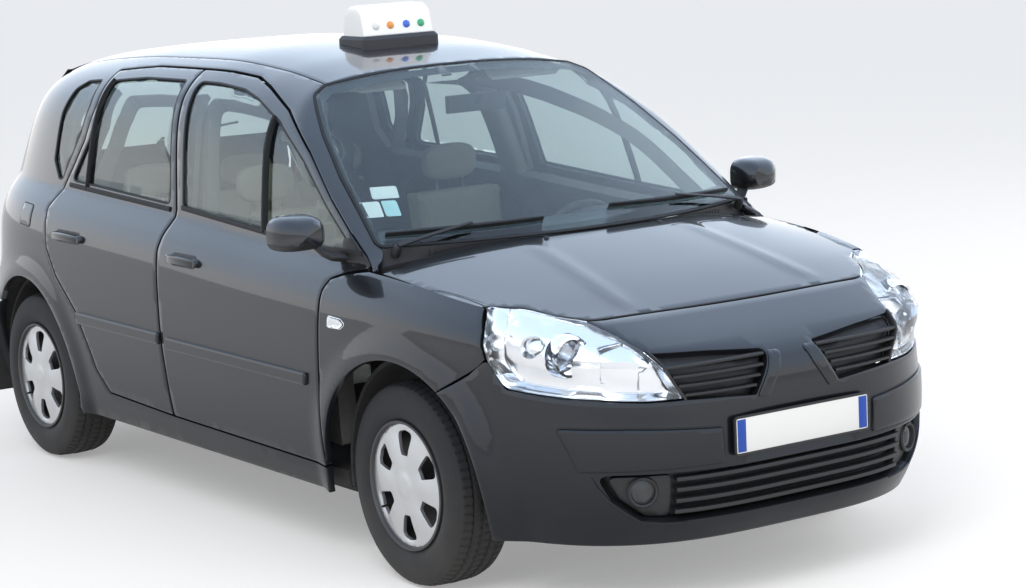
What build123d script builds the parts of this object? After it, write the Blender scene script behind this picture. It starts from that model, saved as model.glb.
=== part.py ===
from build123d import *
import os
import numpy as np

# ---- driving dimensions (mm). X forward, Y left, Z up, origin on the floor under the middle
LENGTH, WIDTH, HEIGHT = 4259.0, 1805.0, 1620.0
WHEELBASE, FRONT_OVERHANG = 2685.0, 920.0
TRACK = 1506.0
AXLE_F = LENGTH / 2 - FRONT_OVERHANG
AXLE_R = AXLE_F - WHEELBASE
AXLE_Z, TYRE_R, TYRE_W, RIM_R = 315.0, 315.0, 205.0, 203.0
ARCH_R = 412.0
GAP = 6.0            # shut gap round doors and lids
SKIN = 60.0          # depth of the boxed body side
DOOR_T = 105.0       # depth of a whole door
SHELL = 42.0         # depth of roof and pillars
HINGE_F = (850.0, 908.0)
HINGE_R = (-292.0, 908.0)

# ---- body form: table-driven section curves
Z0 = 200.0
BELT = ([-2130, -1300, -230, 250, 900, 1575, 1830, 2130], [1100, 1080, 1040, 1012, 985, 912, 868, 830])
ROOF = ([-2130, -1750, -1400, -900, -400, 0, 300, 700, 2130], [1480, 1548, 1582, 1612, 1620, 1595, 1548, 1480, 1480])
HALF = ([0, .12, .30, .50, .71, .85, .91, 1.0], [845, 868, 890, 900, 894, 880, 860, 800])
NOSE = ([0, .127, .30, .487, .66, .78, .846, .9, .955, 1.0], [2050, 2097, 2125, 2129.5, 2114, 2106, 2088, 2030, 1930, 1830])
NOSE_N = ([0, .75, 1.0], [2.6, 2.6, 5.0])
TAIL = ([0, .15, .30, .45, .55, .62, .8, 1.0], [-2040, -2100, -2126, -2129.5, -2120, -2085, -2070, -2035])
TAIL_UP = ([0, .5, .85, 1.0], [-2035, -1930, -1830, -1760])
TAIL_N = 6.0
XF, XR = 600.0, -300.0
TUMBLE = .20
BONNET = ([800, 1140, 1500, 1830, 2130], [1080, 1035, 960, 872, 780])
WS_X0, WS_Z0, WS_X1, WS_Z1, WS_K = 1140.0, 1035.0, 300.0, 1545.0, 3.5e-4


def curve(x, table):
    xs, ys = np.asarray(table[0], float), np.asarray(table[1], float)
    x = np.clip(np.asarray(x, float), xs[0], xs[-1])
    h = np.diff(xs)
    d = np.diff(ys) / h
    m = np.zeros_like(ys)
    m[0], m[-1] = d[0], d[-1]
    for i in range(1, len(xs) - 1):
        m[i] = 0 if d[i - 1] * d[i] <= 0 else (h[i - 1] + h[i]) / (h[i] / d[i - 1] + h[i - 1] / d[i])
    i = np.clip(np.searchsorted(xs, x) - 1, 0, len(xs) - 2)
    t = (x - xs[i]) / h[i]
    return (ys[i] * (2*t**3 - 3*t**2 + 1) + m[i]*h[i]*(t**3 - 2*t**2 + t)
            + ys[i + 1] * (-2*t**3 + 3*t**2) + m[i + 1]*h[i]*(t**3 - t**2))


def zb(x):
    return curve(x, BELT)


def zr(x):
    return curve(x, ROOF)


def side_y(x, z):
    """half width of the lower body at x, z"""
    e = np.clip((z - Z0) / (zb(x) - Z0), 0, 1)
    n, nose, tail = curve(e, NOSE_N), curve(e, NOSE), curve(e, TAIL)
    sf = np.clip((x - XF) / (nose - XF), 0, 1)
    sr = np.clip((XR - x) / (XR - tail), 0, 1)
    return curve(e, HALF) * (1 - sf**n)**(1/n) * (1 - sr**TAIL_N)**(1/TAIL_N)


def upper_y(x, z):
    """half width of the glasshouse; behind x = -1700 the tail cut gives the form"""
    q = np.clip((z - zb(x)) / (zr(x) - zb(x)), 0, 1)
    sr = np.clip((XR - max(float(x), -1700.0)) / (XR - curve(q, TAIL_UP)), 0, 1)
    return (HALF[1][-1] - TUMBLE * (z - zb(x))) * (1 - q**6)**(1/3) * (1 - sr**TAIL_N)**(1/TAIL_N)


def upper_z(x, y):
    lo, hi = float(zb(x)), float(zr(x))
    for _ in range(40):
        m = (lo + hi) / 2
        if float(upper_y(x, m)) > abs(y):
            lo = m
        else:
            hi = m
    return lo


def tail_x(y, z):
    b = float(zb(-2050))
    if z <= b:
        e = (z - Z0) / (b - Z0)
        t, w = float(curve(e, TAIL)), float(curve(e, HALF))
    else:
        t = float(curve((z - b) / (float(zr(-1800)) - b), TAIL_UP))
        w = HALF[1][-1] - TUMBLE * (z - b)
    return XR - (XR - t) * (1 - min(.999, abs(y) / w)**TAIL_N)**(1/TAIL_N)


def nose_pts(e, count, limit=.97, grow=0.0):
    """points along the plan curve at height share e, evenly spaced by arc"""
    n, a, b = float(curve(e, NOSE_N)), float(curve(e, NOSE)) - XF - grow, float(curve(e, HALF)) - grow
    t = np.linspace(-np.pi/2*limit, np.pi/2*limit, 801)
    x, y = XF + a*np.cos(t)**(2/n), b*np.abs(np.sin(t))**(2/n)*np.sign(t)
    s = np.concatenate([[0], np.cumsum(np.hypot(np.diff(x), np.diff(y)))])
    q = np.linspace(0, s[-1], count)
    x, y = np.interp(q, s, x), np.interp(q, s, y)
    return [(float(p), float(r), float(Z0 + e*(zb(p) - Z0))) for p, r in zip(x, y)]


def ws_x(y, z):
    s = (z - WS_Z0) / (WS_Z1 - WS_Z0)
    return WS_X0 + (WS_X1 - WS_X0)*s + 100*s*(1 - s) - WS_K*y*y


def bonnet_z(x, y):
    zc, ze = float(curve(x, BONNET)), float(zb(x))
    yw = HALF[1][-1] * (1 - max(0.0, (x - XF)/(2200.0 - XF))**2.6)**(1/2.6)
    return zc + (ze - zc)*min(1.15, abs(y)/yw)**2.4


# ---- helpers
def bern(n, t):
    c = [1.0]
    for i in range(n):
        c.append(c[-1]*(n - i)/(i + 1))
    return np.stack([c[i]*t**i*(1 - t)**(n - i) for i in range(n + 1)], -1)


def surf(rows, du=6, dv=6):
    """one smooth patch fitted through a grid of points"""
    a = np.asarray(rows, float)
    u = np.concatenate([[0], np.cumsum(np.linalg.norm(np.diff(a, axis=0), axis=2).mean(1))])
    v = np.concatenate([[0], np.cumsum(np.linalg.norm(np.diff(a, axis=1), axis=2).mean(0))])
    pu, pv = np.linalg.pinv(bern(du, u/u[-1])), np.linalg.pinv(bern(dv, v/v[-1]))
    c = np.einsum("iu,uvk,jv->ijk", pu, a, pv)
    return Face.make_bezier_surface([[Vector(*map(float, p)) for p in r] for r in c])


def ext(face, vec):
    s = Solid.extrude(face, Vector(*vec))
    return s if s.volume > 0 else Solid(Shell(s.faces()))


def box(x0, x1, y0, y1, z0, z1):
    return Pos((x0+x1)/2, (y0+y1)/2, (z0+z1)/2) * Box(abs(x1-x0), abs(y1-y0), abs(z1-z0))


def poly(pts):
    return Face(Wire.make_polygon([Vector(*p) for p in pts], close=True))


def prism_y(pts, y0, y1):
    return ext(poly([(x, y0, z) for x, z in pts]), (0, y1-y0, 0))


def prism_x(pts, x0, x1):
    return ext(poly([(x0, y, z) for y, z in pts]), (x1-x0, 0, 0))


def prism_z(pts, z0, z1):
    return ext(poly([(x, y, z0) for x, y in pts]), (0, 0, z1-z0))


def offset(pts, d):
    """polygon moved outward by d with sharp corners"""
    p = np.asarray(pts, float)
    area = sum(p[i][0]*p[(i+1) % len(p)][1] - p[(i+1) % len(p)][0]*p[i][1] for i in range(len(p)))
    s = 1 if area > 0 else -1
    out = []
    for i in range(len(p)):
        a, b, c = p[i-1], p[i], p[(i+1) % len(p)]
        u, v = (b-a)/np.linalg.norm(b-a), (c-b)/np.linalg.norm(c-b)
        n1, n2 = np.array([u[1], -u[0]])*s, np.array([v[1], -v[0]])*s
        k = (n1+n2)/(1+n1@n2)
        out.append(tuple(b + k*d))
    return out


def cyl_y(x, z, r, y0, y1):
    return Pos(x, (y0+y1)/2, z) * Rot(90, 0, 0) * Cylinder(r, abs(y1-y0))


def solid(s):
    """largest connected piece first, as plain solids"""
    ss = sorted(s.solids(), key=lambda q: -q.volume)
    return [q for q in ss if q.volume > 2000]


def one(s):
    q = solid(s)
    return q[0] if len(q) == 1 else Compound(children=q)


def other(s):
    return s.mirror(Plane.XZ)


PARTS = {}


def put(name, shape):
    q = solid(shape) if not isinstance(shape, list) else [k for s in shape for k in solid(s)]
    for k in q:
        assert k.is_valid, name
    PARTS[name] = q
    print(name, len(q), round(sum(k.volume for k in q)/1e6, 2))


SEAT = .3            # fit between pieces that are fixed together


# ---- outlines on the left side (x, z)
FD = [(789, 324), (792, 600), (790, 905), (812, 942), (880, 965), (986, 982), (945, 1016), (840, 1084), (704, 1178), (508, 1318),
      (272, 1438), (60, 1504), (-68, 1532), (-250, 1545), (-447, 1548), (-422, 1450), (-392, 1330), (-359, 1200), (-325, 1066), (-338, 935), (-300, 500), (-293, 336)]
RD = [(-299, 336), (-306, 500), (-344, 935), (-331, 1066), (-365, 1200), (-398, 1330), (-428, 1450), (-453, 1548), (-800, 1546), (-1085, 1524), (-1075, 1400), (-1118, 1270), (-1180, 1180),
      (-1250, 1085), (-1290, 1010), (-1255, 860), (-1174, 760), (-1010, 640), (-920, 500), (-885, 430), (-800, 352)]
FD_K = {14: .34, 15: .3, 16: .26, 17: .22, 18: .2, 19: .2, 20: .12, 21: .12}
RD_K = {9: .42, 10: .38, 11: .32, 12: .28, 13: .25, 14: .2, 15: .2, 16: .2, 17: .2, 18: .2, 19: .2}
FD_WIN = [(905, 1030), (828, 1060), (690, 1150), (495, 1288), (262, 1404), (55, 1470), (-68, 1496), (-250, 1510), (-392, 1512), (-285, 1080), (300, 1045), (700, 1022)]
RD_WIN = [(-375, 1082), (-485, 1512), (-800, 1510), (-1040, 1492), (-1040, 1400), (-1085, 1270), (-1195, 1112)]
Q_WIN = [(-1140, 1490), (-1128, 1400), (-1160, 1290), (-1275, 1112), (-1310, 1110), (-1375, 1180), (-1370, 1360), (-1330, 1450), (-1260, 1482)]


def half_at(x, z):
    return float(side_y(x, z)) if z <= zb(x) else float(upper_y(x, z))


def plug(pts, drafts, y0=960.0, y1=480.0):
    """door-shaped prism across the side; drafted edges lean as they go inward"""
    a, b = [], []
    for i, (x, z) in enumerate(pts):
        k, w = drafts.get(i, 0.0), half_at(x, z)
        a.append(Vector(x - k*(y0 - w), y0, z))
        b.append(Vector(x + k*(w - y1), y1, z))
    return Solid.make_loft([Wire.make_polygon(a, close=True), Wire.make_polygon(b, close=True)], ruled=True)


# ---- master surfaces
EE = np.linspace(0, 1, 25)
XS = np.linspace(-1980, 1650, 45)
LOWER = surf([[(x, float(side_y(x, Z0 + e*(zb(x)-Z0))), float(Z0 + e*(zb(x)-Z0))) for e in EE] for x in XS], 9, 8)
LOW60, LOW105 = ext(LOWER, (0, -SKIN, 0)), ext(LOWER, (0, -DOOR_T, 0))


def green(dy, dz):
    """solid under the left flank of the glasshouse"""
    rows, yb = [], HALF[1][-1]
    for x in np.linspace(-2140, 1100, 28):
        b, top = float(zb(x)), float(zr(x))
        q = np.linspace(0, .985, 200)
        y = np.array([float(upper_y(x, b + k*(top-b))) for k in q])
        z = b + q*(top-b)
        y, z = np.append(y, 0.0), np.append(z, top)
        d = np.concatenate([[0], np.cumsum(np.hypot(np.diff(y), np.diff(z)))])
        end = float(np.interp(-470.0, -y, d))
        k = np.linspace(0, end, 22)
        rows.append([(x, p*(yb-dy)/yb, r-dz) for p, r in zip(np.interp(k, d, y), np.interp(k, d, z))])
    return ext(surf(rows, 7, 8), (0, 0, -700))


def tail(shift, length, y0, y1, z0=480.0, z1=1600.0, du=6, dv=5):
    """solid swept along X from the rear face between two shares of its half width"""
    rows = []
    for z in np.linspace(z0, z1, 24):
        w = (HALF[1][-1] - TUMBLE*(z - 1096)) if z > 1096 else float(curve((z-Z0)/896, HALF))
        y = np.linspace(y0*w, y1*w, 120)
        x = np.array([tail_x(k, z) for k in y])
        d = np.concatenate([[0], np.cumsum(np.hypot(np.diff(x), np.diff(y)))])
        q = np.linspace(0, d[-1], 18)
        rows.append([(float(p) + shift, float(r), z) for p, r in zip(np.interp(q, d, x), np.interp(q, d, y))])
    return ext(surf(rows, du, dv), (length, 0, 0))


G_OUT, G_IN = green(0, 0), green(SHELL, 36)
BELT_PR = prism_y([(-2140, 1085), (-1300, 1062), (-230, 1022), (250, 994), (900, 966), (1160, 945), (1160, 1700), (-2140, 1700)], 400, 1000)
SHELL_S = (G_OUT - G_IN) & BELT_PR
BEHIND = tail(0, -700, .55, .965)


def screen(extra, t0, t1, lo=-.03, hi=1.02):
    rows = []
    for s in np.linspace(lo, hi, 7):
        z = WS_Z0 + s*(WS_Z1-WS_Z0)
        w = 792 - 238*s + extra
        rows.append([(float(ws_x(k*w, z)) + t0*.52, float(k*w), float(z) + t0*.855) for k in np.linspace(-1, 1, 9)])
    return ext(surf(rows, 2, 2), ((t1-t0)*.52, 0, (t1-t0)*.855))


AHEAD = screen(120, 1.0, 500.0, -.4, 1.3)       # all that lies in front of the screen surface
GLASS = screen(-14 - SEAT, -7.0, -1.0, .0356, .9994)
SCREEN_CUT = screen(-14, -90.0, 200.0, .035, 1.0)

SHELL_T = SHELL_S - BEHIND - AHEAD
DOOR_CUT_F, DOOR_CUT_R = plug(offset(FD, GAP*.5), FD_K), plug(offset(RD, GAP*.5), RD_K)
DOOR_F, DOOR_R = plug(offset(FD, -GAP*.5), FD_K), plug(offset(RD, -GAP*.5), RD_K)
INNER_F, INNER_R = plug(offset(FD, -28), FD_K), plug(offset(RD, -28), RD_K)
LEFT = box(-2200, 1200, 500, 1000, 100, 1700)

# ---- roof
ROOF_HALF = 500.0
rows = [[(x, y, upper_z(x, y)) for y in np.linspace(-520, 520, 15)] for x in np.linspace(-1760, 420, 18)]
ROOF_TOP = surf(rows, 6, 5)
roof = (ext(ROOF_TOP, (0, 0, -34)) & box(-1740, 700, -ROOF_HALF+.5, ROOF_HALF-.5, 1300, 1700)) - AHEAD - SCREEN_CUT
GATE_BACK = tail(45 + 14, -700, -.86, .86, 1090, 1640, 3, 6)
roof = roof - GATE_BACK
rows = [[(x, y, upper_z(x, y)) for y in np.linspace(-620, 620, 15)] for x in np.linspace(-2140, -1560, 10)]
UNDER_ROOF = ext(surf(rows, 4, 6), (0, 0, -1300))
put("roof_panel", roof)

# ---- lips round the wheel arches
def flare(x, y, lean):
    prof = [(ARCH_R - 14, y - 70), (ARCH_R - 14, y + 4), (ARCH_R + 26, y + 8), (ARCH_R + 52, y), (ARCH_R + 92, y - 45), (ARCH_R + 92, y - 70)]
    f = Face(Wire.make_polygon([Vector(x + r, w, AXLE_Z) for r, w in prof], close=True))
    q = Solid.revolve(f, 360, Axis((x, 0, AXLE_Z), (0, 1, 0)))
    q = q.rotate(Axis((x, y, 0), (0, 0, 1)), lean)
    return q & box(x - 700, x + 700, 500, 1000, 240, 1000)


# ---- body side: sill, pillars, rail and rear quarter
ARCH_REAR = cyl_y(AXLE_R, AXLE_Z, ARCH_R, 500, 1000)
ARCH_FRONT = cyl_y(AXLE_F, AXLE_Z, ARCH_R, 400, 1000)
INSIDE = ext(LOWER, (0, -420, 0))
TG = [(-630, 602), (-632, 1000), (-530, 1440), (-470, 1556), (470, 1556), (530, 1440), (632, 1000), (630, 602)]
rail = (SHELL_T & LEFT) - SCREEN_CUT
corner_up = (tail(0, 45, .55, .965) & G_OUT) & box(-2200, -1500, 500, 1000, 1080, 1700)
corner_low = (tail(0, 60, .55, .965) & INSIDE) & box(-2200, -1500, 500, 1000, 596 + SEAT, 1095)
low = LOW60 & prism_y([(-1975, 596 + SEAT), (-1975, 1110), (-1300, 1090), (-230, 1050), (250, 1022), (784, 1000), (784, 235), (-1050, 258), (-1120, 330), (-1600, 330), (-1600, 596 + SEAT)], 500, 1000)
side = (rail + low + corner_up + corner_low) - DOOR_CUT_F - DOOR_CUT_R - ARCH_REAR - prism_y(Q_WIN, 400, 1000) - prism_x(offset(TG, GAP), -2200, -1640)
side = side - box(786, 1300, 700, 1000, 200, 973) - BEHIND - box(-2200, -1882, 500, 1000, 720, 1060)
FL_F, FL_R = flare(AXLE_F, 868, -1.8), flare(AXLE_R, 876, 1.5)
RB = [(-1560, 200), (-1600, 420), (-1640, 596), (-2200, 596), (-2200, 100), (-1560, 100)]
side = (side + (FL_R - prism_y(offset(RB, SEAT), 0, 1000))) - ARCH_REAR
put("body_side_left", side)
put("body_side_right", other(one(side)))
q_glass = ((G_OUT & box(-1400, -1100, 500, 900, 1080, 1540)) - green(12, 8)) & prism_y(offset(Q_WIN, -SEAT), 400, 1000)
put("quarter_glass", [q_glass, other(one(q_glass))])
put("windscreen", GLASS)

# ---- doors
RUB = {"front": (-274, 710), "rear": (-1018, -332)}
for name, plg, inner, win in (("front", DOOR_F, INNER_F, FD_WIN), ("rear", DOOR_R, INNER_R, RD_WIN)):
    skin = ext(LOWER, (0, -36, 0)) & plg
    core = (LOW105 & inner) - box(-2000, 1200, 0, 1000, 100, 345)
    frame = (SHELL_S & LEFT & plg) - AHEAD
    pane = ((G_OUT - green(9, 7)) & LEFT & prism_y(offset(win, 12), 400, 1000)) & plg
    door = (skin + core + frame) - prism_y(win, 400, 1000) + pane
    door = one(door)
    put("door_%s_left" % name, door)
    put("door_%s_right" % name, other(door))

# ---- bonnet and front fenders
BON_X0, BON_X1, BON_IN = 1095.0, 1824.0, 14.0
def bonnet_pts(inset, x1):
    xs = list(np.linspace(1030, min(x1, 1824), 16))
    l = [(x, float(side_y(x, zb(x))) - inset) for x in xs]
    return [(p, q) for p, q in l] + [(p, -q) for p, q in l[::-1]]
rows = [[(x, y, bonnet_z(x, y)) for y in np.linspace(-815, 815, 19)] for x in np.linspace(1000, 1860, 16)]
BON = ext(surf(rows, 4, 6), (0, 0, -38))
ws_foot = [(WS_X0 - 22 - WS_K*y*y*.8, y) for y in np.linspace(-800, 800, 11)]
COWL_CUT = prism_z([(900, -900)] + ws_foot + [(900, 900)], 800, 1200)
FRONT_ARC = [(BON_X1 - 3.0e-4*y*y, y) for y in np.linspace(-800, 800, 13)]
NOSE_CUT = prism_z(FRONT_ARC + [(2300, 800), (2300, -800)], 500, 1200)
BON_PR = prism_z(bonnet_pts(BON_IN, 1822), 700, 1200)
bonnet = (BON & BON_PR) - COWL_CUT - NOSE_CUT - box(900, 1040, -900, 900, 700, 1200)
put("bonnet", bonnet)
BON_CLEAR = prism_z(bonnet_pts(BON_IN - GAP, 1824), 780, 1200)
fend = LOW60 & prism_y([(792, 240), (1700, 240), (1700, 1100), (1050, 1100), (1000, 960), (870, 952), (806, 934), (795, 900)], 500, 1000)
LAMP = [(408, 655), (480, 652), (600, 668), (690, 705), (752, 770), (775, 880), (752, 925), (660, 925), (545, 900), (500, 850), (450, 760)]
BUMP_TOP = [(1500, 700), (1640, 745), (1700, 760)]
FB = [(1560, 200), (1592, 420), (1500, 560), (1500, 700), (1640, 742), (2200, 700), (2200, 100), (1560, 100)]
fend = (fend + (FL_F & box(797, 2000, 0, 1000, 240, 1000))) - ARCH_FRONT - box(900, 1040, 0, 1000, 973 - SEAT, 1100)
fend = fend - BON_CLEAR - prism_y(offset(FB, SEAT), 0, 1000) - prism_x(offset(LAMP, SEAT), 1560, 2200)
put("front_fender_left", fend)
put("front_fender_right", other(one(fend)))


# ---- nose pieces from the plan curves
def nose(grow, e0=0.0, e1=.995):
    rows = [nose_pts(e, 31, .86, grow) for e in np.linspace(e0, e1, 22)]
    return ext(surf(rows, 7, 10), (-900, 0, 0))


N_OUT, N_IN, N_LAMP, N_DEEP = nose(0), nose(45), nose(8), nose(130)
FRONT_BOX = box(1480, 2200, -880, 880, 150, 1000)
NOSE_PR = prism_z([(x + GAP, y) for x, y in FRONT_ARC] + [(2300, 800), (2300, -800)], 690, 900) & box(1500, 2300, -640, 640, 600, 1000)
bump = (N_OUT - N_IN) & (prism_y(FB, -900, 900) + NOSE_PR)
bump = bump - cyl_y(AXLE_F, AXLE_Z, ARCH_R, -1000, 1000) - box(1800, 2300, -455, 455, 285, 470) - box(2112, 2300, -262, 262, 468, 582)
for sg in (1, -1):
    bump = bump - prism_x(offset([(sg*y, z) for y, z in LAMP], SEAT), 1560, 2200)
GRILLE = [(112, 628), (401, 645), (390, 700), (300, 742), (125, 762)]
for sg in (1, -1):
    bump = bump - prism_x([(sg*y, z) for y, z in GRILLE], 1900, 2300)
bump = bump & box(1300, 2200, -1000, 1000, 0, 1000)
lip = (FL_F & prism_y(FB, 0, 1000)) - ARCH_FRONT
put("front_bumper", bump + lip + other(lip))
lamp = (N_LAMP - N_DEEP) & prism_x(LAMP, 1580, 2200) & FRONT_BOX
lamp = lamp - BON_CLEAR
put("headlamps", [lamp, other(one(lamp))])
grille_in = N_IN - nose(60)
g1 = grille_in & box(1800, 2300, SEAT - 455, 455 - SEAT, 285 + SEAT, 470 - SEAT)
g2 = (nose(12) - nose(40)) & prism_x(offset(GRILLE, -SEAT), 1880, 2300)
put("grilles", [g1, g2, other(one(g2))])
put("number_plate_front", box(2112 + SEAT, 2124, -260, 260, 470, 580))

# ---- tail
rear_rows = tail(0, 60, -.97, .97, 215, 596, 4, 10)
rear_side = ext(LOWER, (0, -45, 0)) & box(-1975, -1500, 500, 1000, 214, 596)
bump_r = rear_rows - box(-1700, 0, -1000, 1000, 0, 1000)
b = (rear_side & prism_y(RB, 0, 1000)) - ARCH_REAR
bump_r = (bump_r - ext(LOWER, (0, 400, 0)) - other(ext(LOWER, (0, 400, 0)))) + b + other(b) - cyl_y(AXLE_R, AXLE_Z, ARCH_R, -1000, 1000)
lip = (FL_R & prism_y(RB, 0, 1000)) - ARCH_REAR
bump_r = bump_r + lip + other(lip)
put("rear_bumper", bump_r)
tg_low = tail(0, 55, -.82, .82, 590, 1110, 4, 4)
tg_up = tail(0, 45, -.9, .9, 1090, 1600, 3, 6)
TG_WIN = [(-540, 1125), (-468, 1430), (-425, 1482), (425, 1482), (468, 1430), (540, 1125)]
tg_glass = tail(8, 7, -.88, .88, 1090, 1600, 3, 6) & prism_x(offset(TG_WIN, 10), -2200, -1500)
gate = (((tg_low + tg_up) & prism_x(TG, -2200, -1500)) & UNDER_ROOF) - prism_x(TG_WIN, -2200, -1500)
# behind its outer lip the tailgate is narrower, so that its inner edges swing past the side panels
TG_LIP = 6.0         # depth of the outer lip
TG_IN = [(-623, 590), (-625, 1000), (-531, 1405), (-508, 1440), (-452, 1552), (452, 1552), (508, 1440), (531, 1405), (625, 1000), (623, 590)]
TG_EDGE = prism_x(offset(TG, 4), -2200, -1500) - prism_x(TG_IN, -2250, -1450)
gate = gate - (TG_EDGE & tail(TG_LIP, 90, -.85, .85, 580, 1110, 4, 4)) - (TG_EDGE & tail(TG_LIP, 90, -.93, .93, 1090, 1610, 3, 6))
gate = gate + tg_glass
put("tailgate", gate)
lampt = (tail(3, 57, .55, .96, 700, 1060, 3, 6)) & box(-2200, -1882 - SEAT, 500, 1000, 720 + SEAT, 1060 - SEAT)

tl = lampt - ext(LOWER, (0, 300, 0)) - prism_x(offset(TG, GAP + 2), -2200, -1500)
put("tail_lamps", [tl, other(one(tl))])

# ---- wheels: revolved tyre and wheel with a six-window cover
def ring(pts, x, y, z):
    """solid of revolution about the Y line through x, z; pts are (radius, y)"""
    f = Face(Wire.make_polygon([Vector(x + r, y + w, z) for r, w in pts], close=True))
    return Solid.revolve(f, 360, Axis((x, y, z), (0, 1, 0)))


TYRE_OUT = TYRE_R + 11
TYRE = [(205, 88), (228, 101), (262, 104), (300, 97), (318, 84), (326, 55), (326, -55), (318, -84), (300, -97), (262, -104), (228, -101), (205, -88)]
AXLE_UP = TYRE_OUT
def wheel_set(tag, x, sy):
    y = sy*TRACK/2
    tyre = ring([(r, sy*w) for r, w in TYRE], x, y, AXLE_UP)
    rim = [(205, 88), (205, 96), (196, 97), (190, 90), (186, 20), (60, 20), (60, 4), (180, 4), (180, -60), (196, -88), (205, -88)]
    w = ring([(r, sy*q) for r, q in rim], x, y, AXLE_UP)
    face = ring([(0, sy*100), (30, sy*102), (80, sy*99), (196, sy*92), (196, sy*80), (80, sy*84), (0, sy*86)], x, y, AXLE_UP)
    for k in range(6):
        a = np.radians(30 + 60*k)
        c, d = np.cos(a), np.sin(a)
        pts = [(x + r*c - t*d, AXLE_UP + r*d + t*c) for r, t in ((92, -14), (172, -46), (178, 0), (172, 46), (92, 14))]
        face = face - prism_y(pts, y + sy*70, y + sy*110)
    w = w + face + ring([(0, sy*90), (40, sy*90), (60, sy*20), (60, sy*4), (0, sy*4)], x, y, AXLE_UP)
    put("tyre_" + tag, tyre)
    put("wheel_" + tag, w)


for tag, x, sy in (("front_left", AXLE_F, 1), ("front_right", AXLE_F, -1), ("rear_left", AXLE_R, 1), ("rear_right", AXLE_R, -1)):
    wheel_set(tag, x, sy)
for tag, sy in (("left", 1), ("right", -1)):
    y = sy*TRACK/2
    k = ring([(0, 3.5*sy), (56, 3.5*sy), (56, -14*sy), (150, -14*sy), (150, -22*sy), (30, -22*sy), (30, -120*sy), (0, -120*sy)], AXLE_F, y, AXLE_UP)
    k = k + box(AXLE_F - 22, AXLE_F + 22, y - sy*100, y - sy*60, AXLE_UP - 80, AXLE_UP + 130)
    put("knuckle_" + tag, k)

# ---- wheel housings
lin = []
for x, lo in ((AXLE_F, 250), (AXLE_R, 335)):
    for sy in (1, -1):
        r = ring([(398, sy*562), (ARCH_R - SEAT, sy*562), (ARCH_R - SEAT, sy*800), (398, sy*800)], x, 0, AXLE_Z)
        lin.append(r & box(x - 600, x + 600, -1000, 1000, lo, 1000))
put("arch_liners", lin)

# ---- underside
LO = box(-1090, 720, -735, 735, 205, 235) + box(690, 720, -735, 735, 205, 560) + box(690, 720, -640, 640, 560, 900)
LO = LO + box(-1090, -1060, -735, 735, 205, 330) + box(-1230, -1060, -560, 560, 300, 330) + box(-1230, -1200, -560, 560, 300, 402) + box(-2010, -1200, -560, 560, 372, 402) + box(-740, 690, -130, 130, 235, 330)
for sy in (1, -1):
    LO = LO + box(690, 1935, sy*385, sy*455, 470, 560) + box(-1090, 784, sy*735, sy*830, 240, 300)
    LO = LO + box(1150, 1270, sy*385, sy*(562 - SEAT), 700, 760) + box(1170, 1250, sy*385, sy*455, 560, 700)
LO = LO + box(1900, 1940, -455, 455, 470, 560) + box(-2040, -2010, -470, 470, 360, 430)
LO = LO + box(720, 1010, -640, 640, 880, 905 - SEAT)
LO = LO - ext(LOWER, (0, -SKIN - SEAT, 0)) - other(ext(LOWER, (0, -SKIN - SEAT, 0)))
LO = LO - tail(0, 60.3, -.97, .97, 215, 596, 4, 10)
put("floor_pan", LO)
put("engine", box(1340, 1800, -330, 330, 262, 800) + box(1500, 1600, SEAT - 385, 385 - SEAT, 490, 540))
sub = box(1080, 1290, -300, 300, 205, 250)
for sy in (1, -1):
    sub = sub + prism_z([(1110, sy*300), (1190, sy*560), (1196, sy*690), (1223, sy*690), (1240, sy*560), (1290, sy*300)], 205, 235)
    sub = sub + box(1180, 1235, sy*390, sy*450, 235, 470 - SEAT) + Pos(AXLE_F, sy*673, 240) * Cylinder(12, 12 - 2*SEAT)
put("front_subframe", sub)
ax = cyl_y(AXLE_R, AXLE_UP, 32, -640, 640)
for sy in (1, -1):
    ax = ax + prism_z([(AXLE_R - 60, sy*560), (AXLE_R - 60, sy*640), (-1090 - SEAT, sy*640), (-1090 - SEAT, sy*560)], AXLE_UP - 32, AXLE_UP + 28 - 30)
    ax = ax + cyl_y(AXLE_R, AXLE_UP, 56, sy*640, sy*(TRACK/2 + 3.5)) + cyl_y(AXLE_R, AXLE_UP, 150, sy*(TRACK/2 - 22), sy*(TRACK/2 - 14))
put("rear_axle", ax)
ex = Pos(-900, -240, 175) * Rot(0, 90, 0) * Cylinder(26, 2900)
ex = ex - box(-3000, -1990, -400, 0, 0, 400) + box(-1950, -1700, -460, -150, 190, 295) + box(-1850, -1810, -320, -290, 290, 372 - SEAT) + box(-400, -380, -248, -232, 190, 205 - SEAT)
put("exhaust", ex)
put("fuel_tank", box(-1030, -500, 150, 660, 130, 204.5))

# ---- cabin
seat = None
for sy in (1, -1):
    b = box(-330, 210, sy*165, sy*640, 330.5, 470) + prism_y([(-330, 440), (-200, 440), (-330, 1040), (-440, 1030)], sy*165, sy*640)
    b = b + box(-300, 180, sy*220, sy*590, 235.5, 331) if False else b
    h = prism_y([(-350, 1038), (-400, 1034), (-420, 1180), (-350, 1190)], sy*280, sy*520)
    b = b + h + box(-280, 120, sy*200, sy*600, 235.3, 331)
    seat = b if seat is None else seat + b
put("front_seats", seat)
rear = box(-1180, -680, -556, 556, 360, 500) + prism_y([(-1180, 440), (-1060, 440), (-1190, 1020), (-1290, 1010)], -556, 556)
rear = rear + box(-1050, -760, -540, 540, 235.3, 361)
for y in (-420, 0, 420):
    rear = rear + prism_y([(-1215, 1010), (-1265, 1005), (-1285, 1130), (-1225, 1135)], y - 120, y + 120)
put("rear_seats", rear)
dash = prism_y([(690 - SEAT, 640), (560, 660), (560, 900), (640, 990), (900, 1010), (930, 980), (721, 905), (690 - SEAT, 905)], -640, 640)
dash = dash + box(560, 689, -120, 120, 331, 661)
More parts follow.
